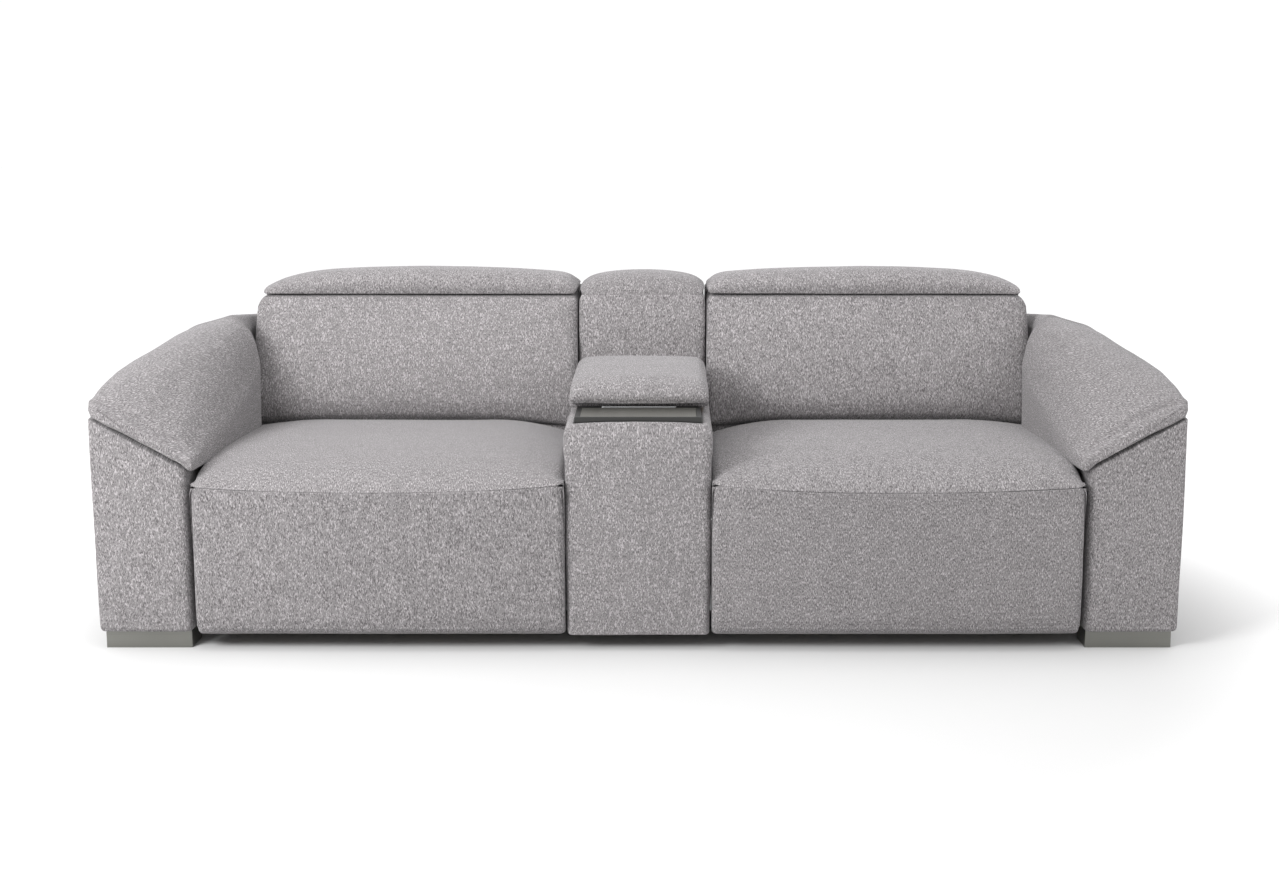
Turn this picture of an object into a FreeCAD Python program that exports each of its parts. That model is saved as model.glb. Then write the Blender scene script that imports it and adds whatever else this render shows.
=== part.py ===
import FreeCAD, Part
import math
import os
from FreeCAD import Vector as V

os.makedirs("parts", exist_ok=True)

# Two-seat power-motion sofa with a fixed centre console.
# Millimetres. Origin at the centre of the overall box on the floor:
# +Z up, the seats face -Y, +X is to the right of someone looking at the front.
# "left" is the -X seat, "right" is the +X seat.

# ---------------------------------------------------------------- driving sizes
HALF_WIDTH = 1199.0        # outer face of the arm pads
ARM_OUT = 1190.0           # outer face of the arm bodies
ARM_IN = 985.0             # inner face of the arm bodies
ARM_FRONT = -490.0
ARM_REAR = 505.0
FOOT_H = 39.0              # height of the front feet
FOOT_IN, FOOT_OUT = 995.0, 1187.0
FOOT_FRONT, FOOT_REAR = -470.0, -385.0

SEAT_IN = 161.0            # seat module, side next to the console
SEAT_OUT = 975.0           # seat module, side next to the arm
SEAT_FRONT = -513.0
BODY_BOTTOM = 35.0         # lowest line of the upholstered fronts
SEAM_Z = 366.0             # sewn line between seat top and front panel

BACK_REAR = 513.0          # rear face of the backs
HEAD_TOP = 800.0           # top of the folded headrests

CON_HALF = 156.0           # console half width below the seat tops
CON_WIDE = 163.0           # console half width above the seat tops
CON_FRONT = -500.0
CON_TOP = 498.0

# recline: the back turns on the carriage at RP, and a pin on the fixed base at
# RQ stands in a slot of the back's levers, which pushes the carriage forward
RECLINE = 30.0
RP = (250.0, 190.0)
R_LEVER = 150.0
RQ = (RP[0] - R_LEVER * math.sin(math.radians(RECLINE / 2)),
      RP[1] + R_LEVER * math.cos(math.radians(RECLINE / 2)))
CARRIAGE_TRAVEL = 2 * R_LEVER * math.sin(math.radians(RECLINE / 2))
SLOT_SIDE = 0.5            # side clearance of the slot
SLOT_END = 2.0             # end clearance of the slot

# leg rest: panel hinge A, drive tube B, link pins C (panel) and D (crank)
LA = (-507.0, 357.0)
LV = (87.0, -137.0)         # A to C, and B to D
LW = (152.0, -115.0)       # A to B, and C to D
LB = (LA[0] + LW[0], LA[1] + LW[1])
LC = (LA[0] + LV[0], LA[1] + LV[1])
LD = (LB[0] + LV[0], LB[1] + LV[1])

HEAD_AXIS = (205.0, 730.0)     # headrest hinge
LID_AXIS = (100.0, 520.0)      # console lid hinge
FLAP_AXIS = (-352.0, 519.5)    # tray flap hinge

RUN = 0.05                 # radial running clearance of pins


# ---------------------------------------------------------------- helpers
def box(x0, x1, y0, y1, z0, z1):
    x0, x1 = min(x0, x1), max(x0, x1)
    y0, y1 = min(y0, y1), max(y0, y1)
    z0, z1 = min(z0, z1), max(z0, z1)
    return Part.makeBox(x1 - x0, y1 - y0, z1 - z0, V(x0, y0, z0))


def prism(poly, x0, x1):
    # polygon of (y, z) points, drawn out along X
    x0, x1 = min(x0, x1), max(x0, x1)
    pts = [V(x0, y, z) for y, z in poly]
    return Part.Face(Part.makePolygon(pts + [pts[0]])).extrude(V(x1 - x0, 0, 0))


def slab(poly, y0, y1):
    # polygon of (x, z) points, drawn out along Y
    pts = [V(x, y0, z) for x, z in poly]
    return Part.Face(Part.makePolygon(pts + [pts[0]])).extrude(V(0, y1 - y0, 0))


def rod(c, r, x0, x1):
    x0, x1 = min(x0, x1), max(x0, x1)
    return Part.makeCylinder(r, x1 - x0, V(x0, c[0], c[1]), V(1, 0, 0))


def rody(x, z, r, y0, y1):
    return Part.makeCylinder(r, y1 - y0, V(x, y0, z), V(0, 1, 0))


def rodz(x, y, r, z0, z1):
    return Part.makeCylinder(r, z1 - z0, V(x, y, z0), V(0, 0, 1))


def strip(a, b, half, x0, x1):
    # flat link with round ends from a to b, both (y, z)
    dy, dz = b[0] - a[0], b[1] - a[1]
    n = math.hypot(dy, dz)
    ny, nz = -dz / n * half, dy / n * half
    p = prism([(a[0] + ny, a[1] + nz), (a[0] - ny, a[1] - nz),
               (b[0] - ny, b[1] - nz), (b[0] + ny, b[1] + nz)], x0, x1)
    return p.fuse([rod(a, half, x0, x1), rod(b, half, x0, x1)]).removeSplitter()


def skin(stations):
    # closed faceted body through sections of (x, z) points at given y
    faces = []
    for (ya, pa), (yb, pb) in zip(stations, stations[1:]):
        n = len(pa)
        for i in range(n):
            j = (i + 1) % n
            a, b = V(pa[i][0], ya, pa[i][1]), V(pa[j][0], ya, pa[j][1])
            c, d = V(pb[i][0], yb, pb[i][1]), V(pb[j][0], yb, pb[j][1])
            for t in ((a, b, d), (a, d, c)):
                if t[0].isEqual(t[1], 1e-6) or t[1].isEqual(t[2], 1e-6) or t[2].isEqual(t[0], 1e-6):
                    continue
                if ((t[1] - t[0]).cross(t[2] - t[0])).Length < 1e-6:
                    continue
                faces.append(Part.Face(Part.makePolygon(list(t) + [t[0]])))
    for y, p in (stations[0], stations[-1]):
        pts = [V(x, y, z) for x, z in p]
        faces.append(Part.Face(Part.makePolygon(pts + [pts[0]])))
    s = Part.Solid(Part.Shell(faces))
    if s.Volume < 0:
        s.reverse()
    return s


def flip(s, shape):
    # shapes are drawn on the +X side; the left side is their mirror image
    if s > 0:
        return shape
    return shape.mirror(V(0, 0, 0), V(1, 0, 0))


def join(parts):
    out = parts[0]
    if len(parts) > 1:
        out = out.fuse(parts[1:]).removeSplitter()
    return out


def group(parts):
    return Part.makeCompound(parts)


def both(parts):
    # a group on the +X side together with its mirror image
    return group([flip(1, p) for p in parts] + [flip(-1, p) for p in parts])


def din(a):
    return SEAT_IN + a


def dout(a):
    return SEAT_OUT - a


nodes = {}

# ---------------------------------------------------------------- arms
# upper surface of the arm body, outer to inner, at stations along Y
ARM_TOP = [
    (ARM_FRONT, [(ARM_OUT, 518), (1058, 443), (ARM_IN, 405)]),
    (-300.0, [(ARM_OUT, 529), (1050, 478), (ARM_IN, 438)]),
    (-60.0, [(ARM_OUT, 539), (1045, 556), (ARM_IN, 538)]),
    (80.0, [(ARM_OUT, 544), (1040, 598), (ARM_IN, 586)]),
    (ARM_REAR, [(ARM_OUT, 544), (1040, 598), (ARM_IN, 586)]),
]
arm_outer = skin([(y, [(ARM_IN, FOOT_H), (ARM_OUT - 12, FOOT_H), (ARM_OUT, FOOT_H + 20)] + top)
                  for y, top in ARM_TOP])
# the plywood box fills this space inside the padded cover
arm_space = box(1003, 1172, -462, 482, 56, 400)
arm_cover = arm_outer.cut(arm_space)
arm_ply = box(1003.5, 1171.5, -461.5, 481.5, 56.5, 399.5).cut(
    box(1018.5, 1156.5, -446.5, 466.5, 71.5, 384.5))
nodes["arm_frames"] = both([arm_ply])

# thick pad draped over the arm: shallow at the front, steep beside the back
PAD_F = [(-490.0, [(1194, 521), (1058, 446), (983, 408.5), (983, 403), (972, 402), (968, 434),
                   (1010, 463), (1086, 512), (1150, 541), (1190, 553), (HALF_WIDTH, 545)]),
         (-300.0, [(1194, 531), (1050, 480), (983, 440), (983, 403), (955, 402), (951, 455),
                   (995, 545), (1065, 603), (1130, 615), (1180, 592), (HALF_WIDTH, 574)]),
         (-60.0, [(1194, 541), (1045, 558), (983, 540), (983, 403), (940, 402), (936, 525),
                  (962, 622), (1018, 672), (1100, 646), (1180, 599), (HALF_WIDTH, 580)]),
         (80.0, [(1194, 546), (1040, 600), (983, 588), (983, 403), (934, 402), (931, 570),
                 (950, 642), (1000, 684), (1100, 648), (1180, 600), (HALF_WIDTH, 582)])]
PAD_R = [(80.0, [(1194, 546), (1040, 600), (984, 588), (984, 640), (1005, 684), (1100, 648),
                 (1180, 600), (HALF_WIDTH, 582)]),
         (430.0, [(1194, 546), (1040, 600), (984, 588), (984, 640), (1008, 680), (1100, 645),
                  (1180, 598), (HALF_WIDTH, 580)]),
         (503.0, [(1192, 546), (1040, 600), (988, 588), (990, 618), (1012, 640), (1100, 618),
                  (1176, 580), (1192, 565)])]
arm_pad = join([skin(PAD_F), skin(PAD_R)])

for side, s in (("left", -1), ("right", 1)):
    nodes["arm_cover_" + side] = flip(s, arm_cover)
    nodes["arm_pad_" + side] = flip(s, arm_pad)

# ---------------------------------------------------------------- feet
foot = box(FOOT_IN, FOOT_OUT, FOOT_FRONT, FOOT_REAR, 0, FOOT_H)
foot = foot.makeFillet(2.5, [e for e in foot.Edges if abs(e.BoundBox.ZLength - FOOT_H) < 0.1])
nodes["front_feet"] = both([foot])
rear = [rodz(1150, 455, 26, 0, FOOT_H), rodz(1030, 455, 26, 0, FOOT_H)]
glides = [rodz(s * 115, y, 22, 0, 45.0) for s in (-1, 1) for y in (-250, 100)]
nodes["rear_feet"] = group([flip(1, p) for p in rear] + [flip(-1, p) for p in rear] + glides)

# ---------------------------------------------------------------- seat modules
WIN, WOUT = SEAT_IN, SEAT_OUT
MID = (WIN + WOUT) / 2


def on_sides(fn):
    # fn(at) draws a piece on one side wall of the module, at(d) being the x of
    # a plane d inside that side; it is repeated for the other side wall
    return [fn(din), fn(dout)]


RAIL_Y0, RAIL_Y1 = -360.0, 320.0


def base_side(at):
    return box(at(6), at(26), RAIL_Y0, RAIL_Y1, 45, 115)


def slide_bar(at):
    return box(at(10), at(20), RAIL_Y0, 184, 115, 130)


def upright(at):
    plate = prism([(186, 115), (244, 115), (238, 330), (222, 356), (200, 356), (186, 330)], at(6), at(12))
    return join([plate, rod(RQ, 5.0, at(12), at(20.5))])


def seat_side(at):
    plate = prism([(-380, 122), (280, 122), (280, 215), (262, 232), (130, 262), (-370, 262),
                   (-370, 352), (-380, 352)], at(24), at(42))
    plate = plate.cut(rod(LB, 8.0 + RUN, at(23), at(43)))
    shoe = []
    for y in (-270.0, 90.0):
        b = box(at(7), at(24), y - 30, y + 30, 118, 142)
        shoe.append(b.cut(box(at(9.6), at(20.4), y - 31, y + 31, 117, 130.4)))
    pin = rod(RP, 6.0, at(12.6), at(24))
    ear = prism([(-402, 318), (-402, 360), (-507, 362.5), (-512.5, 359), (-512.5, 354), (-506, 350.5),
                 (-470, 338)], at(28), at(34))
    apin = rod(LA, 3.0, at(34), at(41.5))
    return [plate] + shoe + [pin, ear, apin]


def lever(at):
    p = prism([(228, 168), (272, 168), (330, 250), (368, 300), (368, 436), (300, 436),
               (184, 372), (184, 316)], at(14), at(19))
    p = p.cut(rod(RP, 6.0 + RUN, at(13), at(20)))
    # slot along the line from the pivot to the base pin
    uy, uz = -math.sin(math.radians(RECLINE / 2)), math.cos(math.radians(RECLINE / 2))
    rmin = R_LEVER * math.cos(math.radians(RECLINE / 2)) - SLOT_END
    rmax = R_LEVER + SLOT_END
    a = (RP[0] + uy * rmin, RP[1] + uz * rmin)
    b = (RP[0] + uy * rmax, RP[1] + uz * rmax)
    return p.cut(strip(a, b, 5.0 + SLOT_SIDE, at(13), at(20)))


def leg_ear(at):
    p = prism([(-512.5, 354), (-512.5, 359), (-507, 362.3), (-436, 360), (-436, 300), (-453, 300),
               (-453, 332), (-504, 350.5)], at(35), at(41))
    return p.cut(rod(LA, 3.0 + RUN, at(34), at(42)))


def leg_bracket(at):
    p = prism([(-436, 188), (-420, 205), (-407, 212), (-407, 229), (-416, 236), (-436, 240)], at(64.5), at(70.5))
    return join([p, rod(LC, 5.0, at(56.8), at(64.5))])


def crank(at):
    arm = strip(LB, LD, 14.0, at(50), at(56))
    return join([arm, rod(LD, 5.0, at(56), at(63.4))])


def link(at):
    p = strip(LD, LC, 11.0, at(57), at(63))
    p = p.cut(rod(LD, 5.0 + RUN, at(56), at(64)))
    # this is the pivot where the closed linkage is opened: it has more room
    return p.cut(rod(LC, 5.0 + 0.3, at(56), at(64)))


SEAT_LOW = [(SEAT_FRONT, SEAM_Z), (SEAT_FRONT, 376), (-500, 388), (112, 388), (118, 372), (118, 267),
            (-366, 267), (-366, SEAM_Z)]
SEAT_CROWN = [(-500, 388), (-484, 402), (-420, 414), (-300, 421), (-150, 424), (0, 418), (85, 404),
              (112, 388)]
BACK_PROFILE = [(112, 420), (104, 450), (112, 500), (128, 560), (150, 620), (178, 680), (194, 706),
                (215, 723.8), (330, 723.8), (330, 280), (190, 280), (136, 320), (136, 400)]
REAR_PROFILE = [(484, 165), (509, 350), (BACK_REAR, 600), (500, 695), (475, 724), (386, 724), (386, 700),
                (460, 700), (473, 600), (469, 350), (449, 165)]
HEAD_PROFILE = [(196, 737), (195, 760), (206, 782), (240, 795), (300, HEAD_TOP), (370, 794), (425, 775),
                (452, 750), (452, 737)]

for side, s in (("left", -1), ("right", 1)):
    n = side
    # fixed base: side rails, cross rails and the bars that the carriage slides on
    rails = on_sides(base_side) + on_sides(slide_bar)
    rails += [box(din(26), dout(26), -225, -205, 45, 115), box(din(26), dout(26), 300, 320, 45, 115)]
    nodes["base_frame_" + n] = group([flip(s, p) for p in rails])
    # carriage
    parts = []
    for at in (din, dout):
        parts += seat_side(at)
    cross = [box(din(24), dout(24), -402, -380, 275, 360),
             box(din(42), dout(42), 100, 118, 200, 262),
             box(din(42), dout(42), -60, -40, 122, 160)]
    frame = join(parts + cross)
    # notches for the leg rest's hinge ears, which swing up to the front rail
    nodes["seat_frame_" + n] = flip(s, frame)
    nodes["seat_webbing_" + n] = flip(s, box(din(24), dout(24), -368, 118, 262.3, 265.3))
    low = prism(SEAT_LOW, din(2), dout(3))
    crown = prism(SEAT_CROWN, din(22), 916)
    nodes["seat_cushion_" + n] = flip(s, join([low, crown]))
    # recline drive: the tube and gear case are on the base, the rod on the carriage
    nodes["actuator_rod_" + n] = flip(s, join([rody(MID, 100, 10, -40, 190),
                                               box(MID - 18, MID + 18, -40, -28, 84, 150)]))
    # leg rest drive: gear case round the drive tube, motor behind it
    case = join([box(MID - 27, MID + 27, -385, -325, 216, 260.5), rody(MID, 236, 24, -325, -170),
                 box(MID - 17, MID + 17, -379.7, -371, 235, 340)])
    case = case.cut(rod(LB, 14.0 + RUN, MID - 30, MID + 30))
    nodes["legrest_motor_" + n] = flip(s, case)
    tube = [rod(LB, 14.0, din(42.6), dout(42.6)), rod(LB, 8.0, din(23.5), din(42.6)),
            rod(LB, 8.0, dout(42.6), dout(23.5))]
    nodes["drive_tube_" + n] = flip(s, join(tube + on_sides(crank)))
    nodes["legrest_links_" + n] = group([flip(s, p) for p in on_sides(link)])
    # leg rest panel
    board = [box(din(35), dout(35), -453, -436, 60, 330)] + on_sides(leg_ear) + on_sides(leg_bracket)
    nodes["legrest_board_" + n] = flip(s, join(board))
    pad = prism([(SEAT_FRONT, BODY_BOTTOM + 14), (SEAT_FRONT, LA[1] - 1), (-509, 361), (-505, 362.5), (-454, 362.5),
                 (-454, BODY_BOTTOM), (-499, BODY_BOTTOM)], din(1), dout(2))
    for at in (din, dout):
        pad = pad.cut(box(at(26), at(43), -514, -450, 322, 370))
    nodes["legrest_pad_" + n] = flip(s, pad)
    # back
    posts = [box(at(19.3), at(49), 340, 380, 290, 700) for at in (din, dout)]
    posts += [box(din(49), dout(49), 340, 380, 290, 330), box(din(49), dout(49), 340, 380, 660, 700)]
    # the feet of the posts are clear of the levers, which are bolted to them
    nodes["back_frame_" + n] = flip(s, join(posts))
    nodes["back_levers_" + n] = group([flip(s, p) for p in on_sides(lever)])
    cush = prism(BACK_PROFILE, din(3), dout(15))
    for at in (din, dout):
        cush = cush.cut(box(at(-5), at(24), 168, 400, 270, 450))
    nodes["back_cushion_" + n] = flip(s, cush)
    nodes["back_rear_cover_" + n] = flip(s, prism(REAR_PROFILE, din(3), dout(10)))
    # headrest and its ratchet hinges
    fixed, moving = [], []
    for x in (din(150), dout(150)):
        k = [rod(HEAD_AXIS, 5.6, x - 24, x - 9.5), rod(HEAD_AXIS, 5.6, x + 9.5, x + 24)]
        leaf = [box(x - 24, x - 9.5, 205, 300, 724.4, 727.2), box(x + 9.5, x + 24, 205, 300, 724.4, 727.2),
                box(x - 24, x + 24, 222, 300, 724.4, 727.2)]
        fixed.append(join(k + leaf + [rod(HEAD_AXIS, 3.0, x - 24, x + 24)]))
        m = join([rod(HEAD_AXIS, 5.6, x - 9.0, x + 9.0), box(x - 9.0, x + 9.0, 205, 320, 732.8, 735.6),
                  box(x - 24, x + 24, 222, 320, 732.8, 735.6)])
        moving.append(m.cut(rod(HEAD_AXIS, 3.0 + RUN, x - 10, x + 10)))
    nodes["headrest_ratchets_" + n] = group([flip(s, p) for p in fixed])
    nodes["headrest_plates_" + n] = group([flip(s, p) for p in moving])
    nodes["headrest_cushion_" + n] = flip(s, prism(HEAD_PROFILE, din(5), dout(28)))

nodes["recline_uprights"] = both(on_sides(upright))
act = join([rody(MID, 100, 17, -10, 230), box(MID - 30, MID + 30, 225, 300, 70, 132),
            rody(MID + 60, 100, 22, 170, 300), box(MID + 20, MID + 70, 262, 300, 80, 120)])
act = act.cut(rody(MID, 100, 10.1, -11, 210))
nodes["recline_actuators"] = both([act])

# brackets that hang the base frames on the arms and the console
hang = [box(SEAT_OUT - 6, ARM_IN, y - 40, y + 40, 50, 110) for y in (-300, 250)]
hang += [box(CON_HALF, SEAT_IN + 6, y - 40, y + 40, 50, 110) for y in (-300, 250)]
nodes["joining_brackets"] = both(hang)

# ---------------------------------------------------------------- console
CW = 148.5                 # outer half width of the console box
carc = box(-CW, CW, -481, 140, 45, 497)
carc = carc.cut(box(-CW + 16, CW - 16, -465, -318, 61, 600))
carc = carc.cut(box(-CW + 16, CW - 16, -302, 124, 61, 600))
top = box(-CW + 16, CW - 16, -465, -318, 484, 497).cut(box(-128, 128, -464, -340, 480, 500))
nodes["console_carcass"] = join([carc, top])
# padded cover: front, two sides with a wider roll above the seat tops
cfront = prism([(CON_FRONT, BODY_BOTTOM + 10), (CON_FRONT, 478), (-492, 492), (-481.3, CON_TOP),
                (-481.3, BODY_BOTTOM), (-492, BODY_BOTTOM)], -CON_HALF, CON_HALF)
cside = slab([(CW + 0.3, BODY_BOTTOM), (CON_HALF, BODY_BOTTOM), (CON_HALF, 432), (CON_WIDE, 440), (CON_WIDE, 486),
              (157, CON_TOP), (CW + 0.3, CON_TOP)], -481, 140)
pocket = box(CW + 3.0, CON_WIDE + 2, -247, -193, 452, 478)
cside = cside.cut(pocket)
nodes["console_cover"] = group([cfront, cside, flip(-1, cside)])
# storage bin hung from its rim in the console box
binw = box(-131.5, 131.5, -300.5, 96, 180, 500.2).cut(box(-128.5, 128.5, -297.5, 93, 183, 600))
nodes["storage_bin"] = binw
# tray: rim on the console top, shallow well, notch for a finger in the front rim
TR = 139.0
rim = box(-TR, TR, -477, -325, 498.3, 522)
well = box(-126, 126, -462, -342, 456, 499)
tray = join([rim, well])
tray = tray.cut(box(-123, 123, -459, -345, 459, 499))
tray = tray.cut(box(-127, 127, -468.5, -347, 498.9, 515.6))
tray = tray.cut(box(-128, 128, -469, FLAP_AXIS[0] + 4.5, 515.6, 523))
tray = tray.cut(box(-9, 9, -474.5, -468, 512, 523))
for sx in (-1, 1):
    tray = tray.cut(rod(FLAP_AXIS, 2.0 + RUN, sx * 127, sx * 134))
nodes["tray_frame"] = tray
flap = box(-127.5, 127.5, -468, FLAP_AXIS[0], 516.2, 521.6)
barrel = rod(FLAP_AXIS, 2.7, -127.5, 127.5)
pins = [rod(FLAP_AXIS, 2.0, sx * 127.5, sx * 133.5) for sx in (-1, 1)]
nodes["tray_flap"] = join([flap, barrel] + pins)

# lid: board, pad and two hinges at the rear
lid_plate = box(-138, 138, -318, 88, 504.5, 515.5)
lid = prism([(-320, 516), (-322, 525), (-345, 530), (-345, 550), (-334, 566), (-300, 575), (-200, 579), (40, 574),
             (84, 566), (94, 552), (94, 516)], -156, 156)
nodes["lid_pad"] = lid
fixedh, movingh = [], []
for x in (-90.0, 90.0):
    fixedh.append(join([rod(LID_AXIS, 4.6, x - 22, x - 8), rod(LID_AXIS, 4.6, x + 8, x + 22),
                        rod(LID_AXIS, 2.5, x - 22, x + 22),
                        box(x - 22, x - 8, 97, 103.5, 500.5, 520), box(x + 8, x + 22, 97, 103.5, 500.5, 520),
                        box(x - 22, x + 22, 96.3, 123, 497.3, 500.5)]))
    m = join([rod(LID_AXIS, 4.6, x - 7.5, x + 7.5), box(x - 7.5, x + 7.5, 86, 100, 506, 513),
              box(x - 7.5, x + 7.5, 94.5, 100, 505, 520)])
    movingh.append(m.cut(rod(LID_AXIS, 2.5 + RUN, x - 9, x + 9)))
nodes["lid_hinges"] = group(fixedh)
nodes["lid_plate"] = join([lid_plate] + movingh)

# middle back, fixed behind the console
nodes["console_back_frame"] = join([box(-150, -126, 341, 381, 50, 700), box(126, 150, 341, 381, 50, 700),
                                    box(-126, 126, 341, 381, 50, 90), box(-126, 126, 341, 381, 660, 700),
                                    box(-150, -126, 141, 341, 50, 110), box(126, 150, 141, 341, 50, 110)])
MB = [(158, 300), (158, 520), (161, 570), (170, 620), (184, 680), (197, 706), (216, 725), (335, 725),
      (335, 300)]
nodes["console_back_cushion"] = prism(MB, -155.5, 155.5)
MH = [(200, 733), (199, 755), (210, 774), (244, 786), (300, 791), (370, 786), (425, 768), (450, 745), (450, 733)]
nodes["console_head_cushion"] = prism(MH, -155.5, 155.5)
# fabric over the rear of the middle back, with its two side skirts
nodes["console_rear_cover"] = group(
    [prism([(498, 45), (509, 350), (BACK_REAR, 600), (500, 695), (475, 725), (386, 725), (386, 702),
            (460, 702), (473, 600), (469, 350), (460, 45)], -155.5, 155.5)]
    + [flip(s, p) for s in (-1, 1) for p in (box(150.5, 155.5, 142, 340, 35, 296),
                                             box(150.5, 155.5, 386, 456, 35, 690))])

# electrics in the console's foot
inl = box(-30, 30, 196, 214, 118, 158).cut(box(-7, 7, 200, 215, 131, 145))
nodes["control_box"] = join([box(-70, 70, 140.5, 196, 112, 164), inl])

# rocker switches on the console's sides, above the seats
plate = box(CW + 3.2, CW + 5.2, -246.5, -193.5, 452.5, 477.5)
bez = box(CW + 5.2, CON_WIDE + 1.2, -246.5, -193.5, 452.5, 477.5).cut(
    box(CW + 5.0, CON_WIDE + 2, -241, -199, 456, 474))
posts = [rodz(CW + 10, -220, 1.5, 452.6, 477.4)]
nodes["switch_plates"] = both([join([plate, bez] + posts)])
rk = slab([(CW + 8.0, 456.6), (CON_WIDE + 2.4, 456.6), (CON_WIDE + 2.4, 473.4), (CW + 8.0, 473.4)], -240, -200)
rk = rk.cut(box(CW + 7, CW + 10, -241, -226, 456, 474)).cut(box(CW + 7, CW + 10, -214, -199, 456, 474))
rk = rk.cut(rodz(CW + 10, -220, 1.5 + RUN, 456, 474))
# shallow dish at each end, so that a finger finds the two presses
for side, s in (("left", -1), ("right", 1)):
    nodes["rocker_" + side] = flip(s, rk)

# ---------------------------------------------------------------- write
total = None
for name, shape in nodes.items():
    if isinstance(shape, Part.Compound):
        ok = all(x.isValid() for x in shape.Solids) and len(shape.Solids) > 0
    else:
        ok = shape.isValid() and len(shape.Solids) >= 1
        if shape.ShapeType == "Compound" or len(shape.Solids) > 1:
            print("solids", name, len(shape.Solids))
    if not ok:
        print("INVALID", name)
    shape.exportStep("parts/%s.step" % name)
    b = shape.BoundBox
    if total is None:
        total = FreeCAD.BoundBox(b)
    else:
        total.add(b)
print(len(nodes), "nodes")
print("box x %.1f %.1f y %.1f %.1f z %.1f %.1f" % (total.XMin, total.XMax, total.YMin, total.YMax,
                                                    total.ZMin, total.ZMax))
print("carriage travel %.3f mm, ratio %.6f m/rad" % (CARRIAGE_TRAVEL,
                                                      CARRIAGE_TRAVEL / 1000 / math.radians(RECLINE)))
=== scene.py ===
import math

import bmesh
import bpy
import numpy as np
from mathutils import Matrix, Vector


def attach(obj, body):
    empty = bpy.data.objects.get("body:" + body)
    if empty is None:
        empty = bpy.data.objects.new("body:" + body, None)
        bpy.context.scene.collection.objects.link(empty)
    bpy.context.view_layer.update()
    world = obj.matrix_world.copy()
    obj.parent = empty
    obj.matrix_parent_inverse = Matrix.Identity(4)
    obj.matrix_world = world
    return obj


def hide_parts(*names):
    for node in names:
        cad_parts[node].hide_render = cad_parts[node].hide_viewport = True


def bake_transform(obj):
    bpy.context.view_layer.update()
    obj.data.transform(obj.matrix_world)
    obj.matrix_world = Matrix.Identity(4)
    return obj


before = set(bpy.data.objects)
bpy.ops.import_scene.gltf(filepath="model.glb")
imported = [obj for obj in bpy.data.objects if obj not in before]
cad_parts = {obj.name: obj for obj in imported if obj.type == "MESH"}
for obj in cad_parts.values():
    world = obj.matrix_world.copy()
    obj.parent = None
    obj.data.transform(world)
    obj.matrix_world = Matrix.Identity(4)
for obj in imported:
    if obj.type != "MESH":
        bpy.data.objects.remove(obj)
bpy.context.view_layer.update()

scene = bpy.context.scene

# Shapes below are drawn in millimetres on the +X side and mirrored for the other
# side. "fab" is the cloth's own coordinate (across, along, layer) in metres, so the
# yarn runs with each panel and does not slide when a panel moves.


# ------------------------------------------------------------------ small maths
def sstep(a, b, x):
    t = np.clip((np.asarray(x, float) - a) / (b - a), 0.0, 1.0)
    return t * t * (3 - 2 * t)


def vnoise(p, seed=0):
    """Smooth value noise, -1 to 1, at points p (n, 3)."""
    p = np.asarray(p, float)
    i = np.floor(p).astype(np.int64)
    f = p - i
    f = f * f * (3 - 2 * f)
    out = np.zeros(len(p))
    for dx in (0, 1):
        for dy in (0, 1):
            for dz in (0, 1):
                x, y, z = i[:, 0] + dx, i[:, 1] + dy, i[:, 2] + dz
                n = (x * 73856093) ^ (y * 19349663) ^ (z * 83492791) ^ (seed * 2654435)
                n = (n ^ (n >> 13)) & 0x7FFFFFFF
                n = (n * 1274126177) & 0x7FFFFFFF
                n = n ^ (n >> 15)
                v = (n & 0xFFFF) / 32767.5 - 1.0
                w = (f[:, 0] if dx else 1 - f[:, 0]) * (f[:, 1] if dy else 1 - f[:, 1]) * (
                    f[:, 2] if dz else 1 - f[:, 2])
                out += v * w
    return out


def rounded(pts, rad, step=10.0, nb=5, fine=None):
    """Closed polygon with softened corners, cut into points. Point counts depend only on the
    reference lengths in fine, so several sections with the same counts loft cleanly."""
    pts = [np.array(p, float) for p in pts]
    n = len(pts)
    ends = []
    for i in range(n):
        p, a, b = pts[i], pts[i - 1], pts[(i + 1) % n]
        u, v = a - p, b - p
        lu, lv = np.linalg.norm(u), np.linalg.norm(v)
        u, v = u / max(lu, 1e-9), v / max(lv, 1e-9)
        ang = math.acos(float(np.clip(u @ v, -1, 1)))
        d = rad[i] / max(math.tan(ang / 2), 1e-3)
        d = min(d, 0.49 * lu, 0.49 * lv, 4 * rad[i])
        ends.append((p + u * d, p + v * d))
    out, counts = [], []
    for i in range(n):
        p, (p0, p1) = pts[i], ends[i]
        for t in np.linspace(0, 1, nb):
            out.append((1 - t) ** 2 * p0 + 2 * t * (1 - t) * p + t * t * p1)
        q = ends[(i + 1) % n][0]
        m = fine[i] if fine else int(round(np.linalg.norm(q - p1) / step)) - 1
        m = max(m, 0)
        counts.append(m)
        for k in range(1, m + 1):
            out.append(p1 + (q - p1) * k / (m + 1))
    return np.array(out), counts


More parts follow.
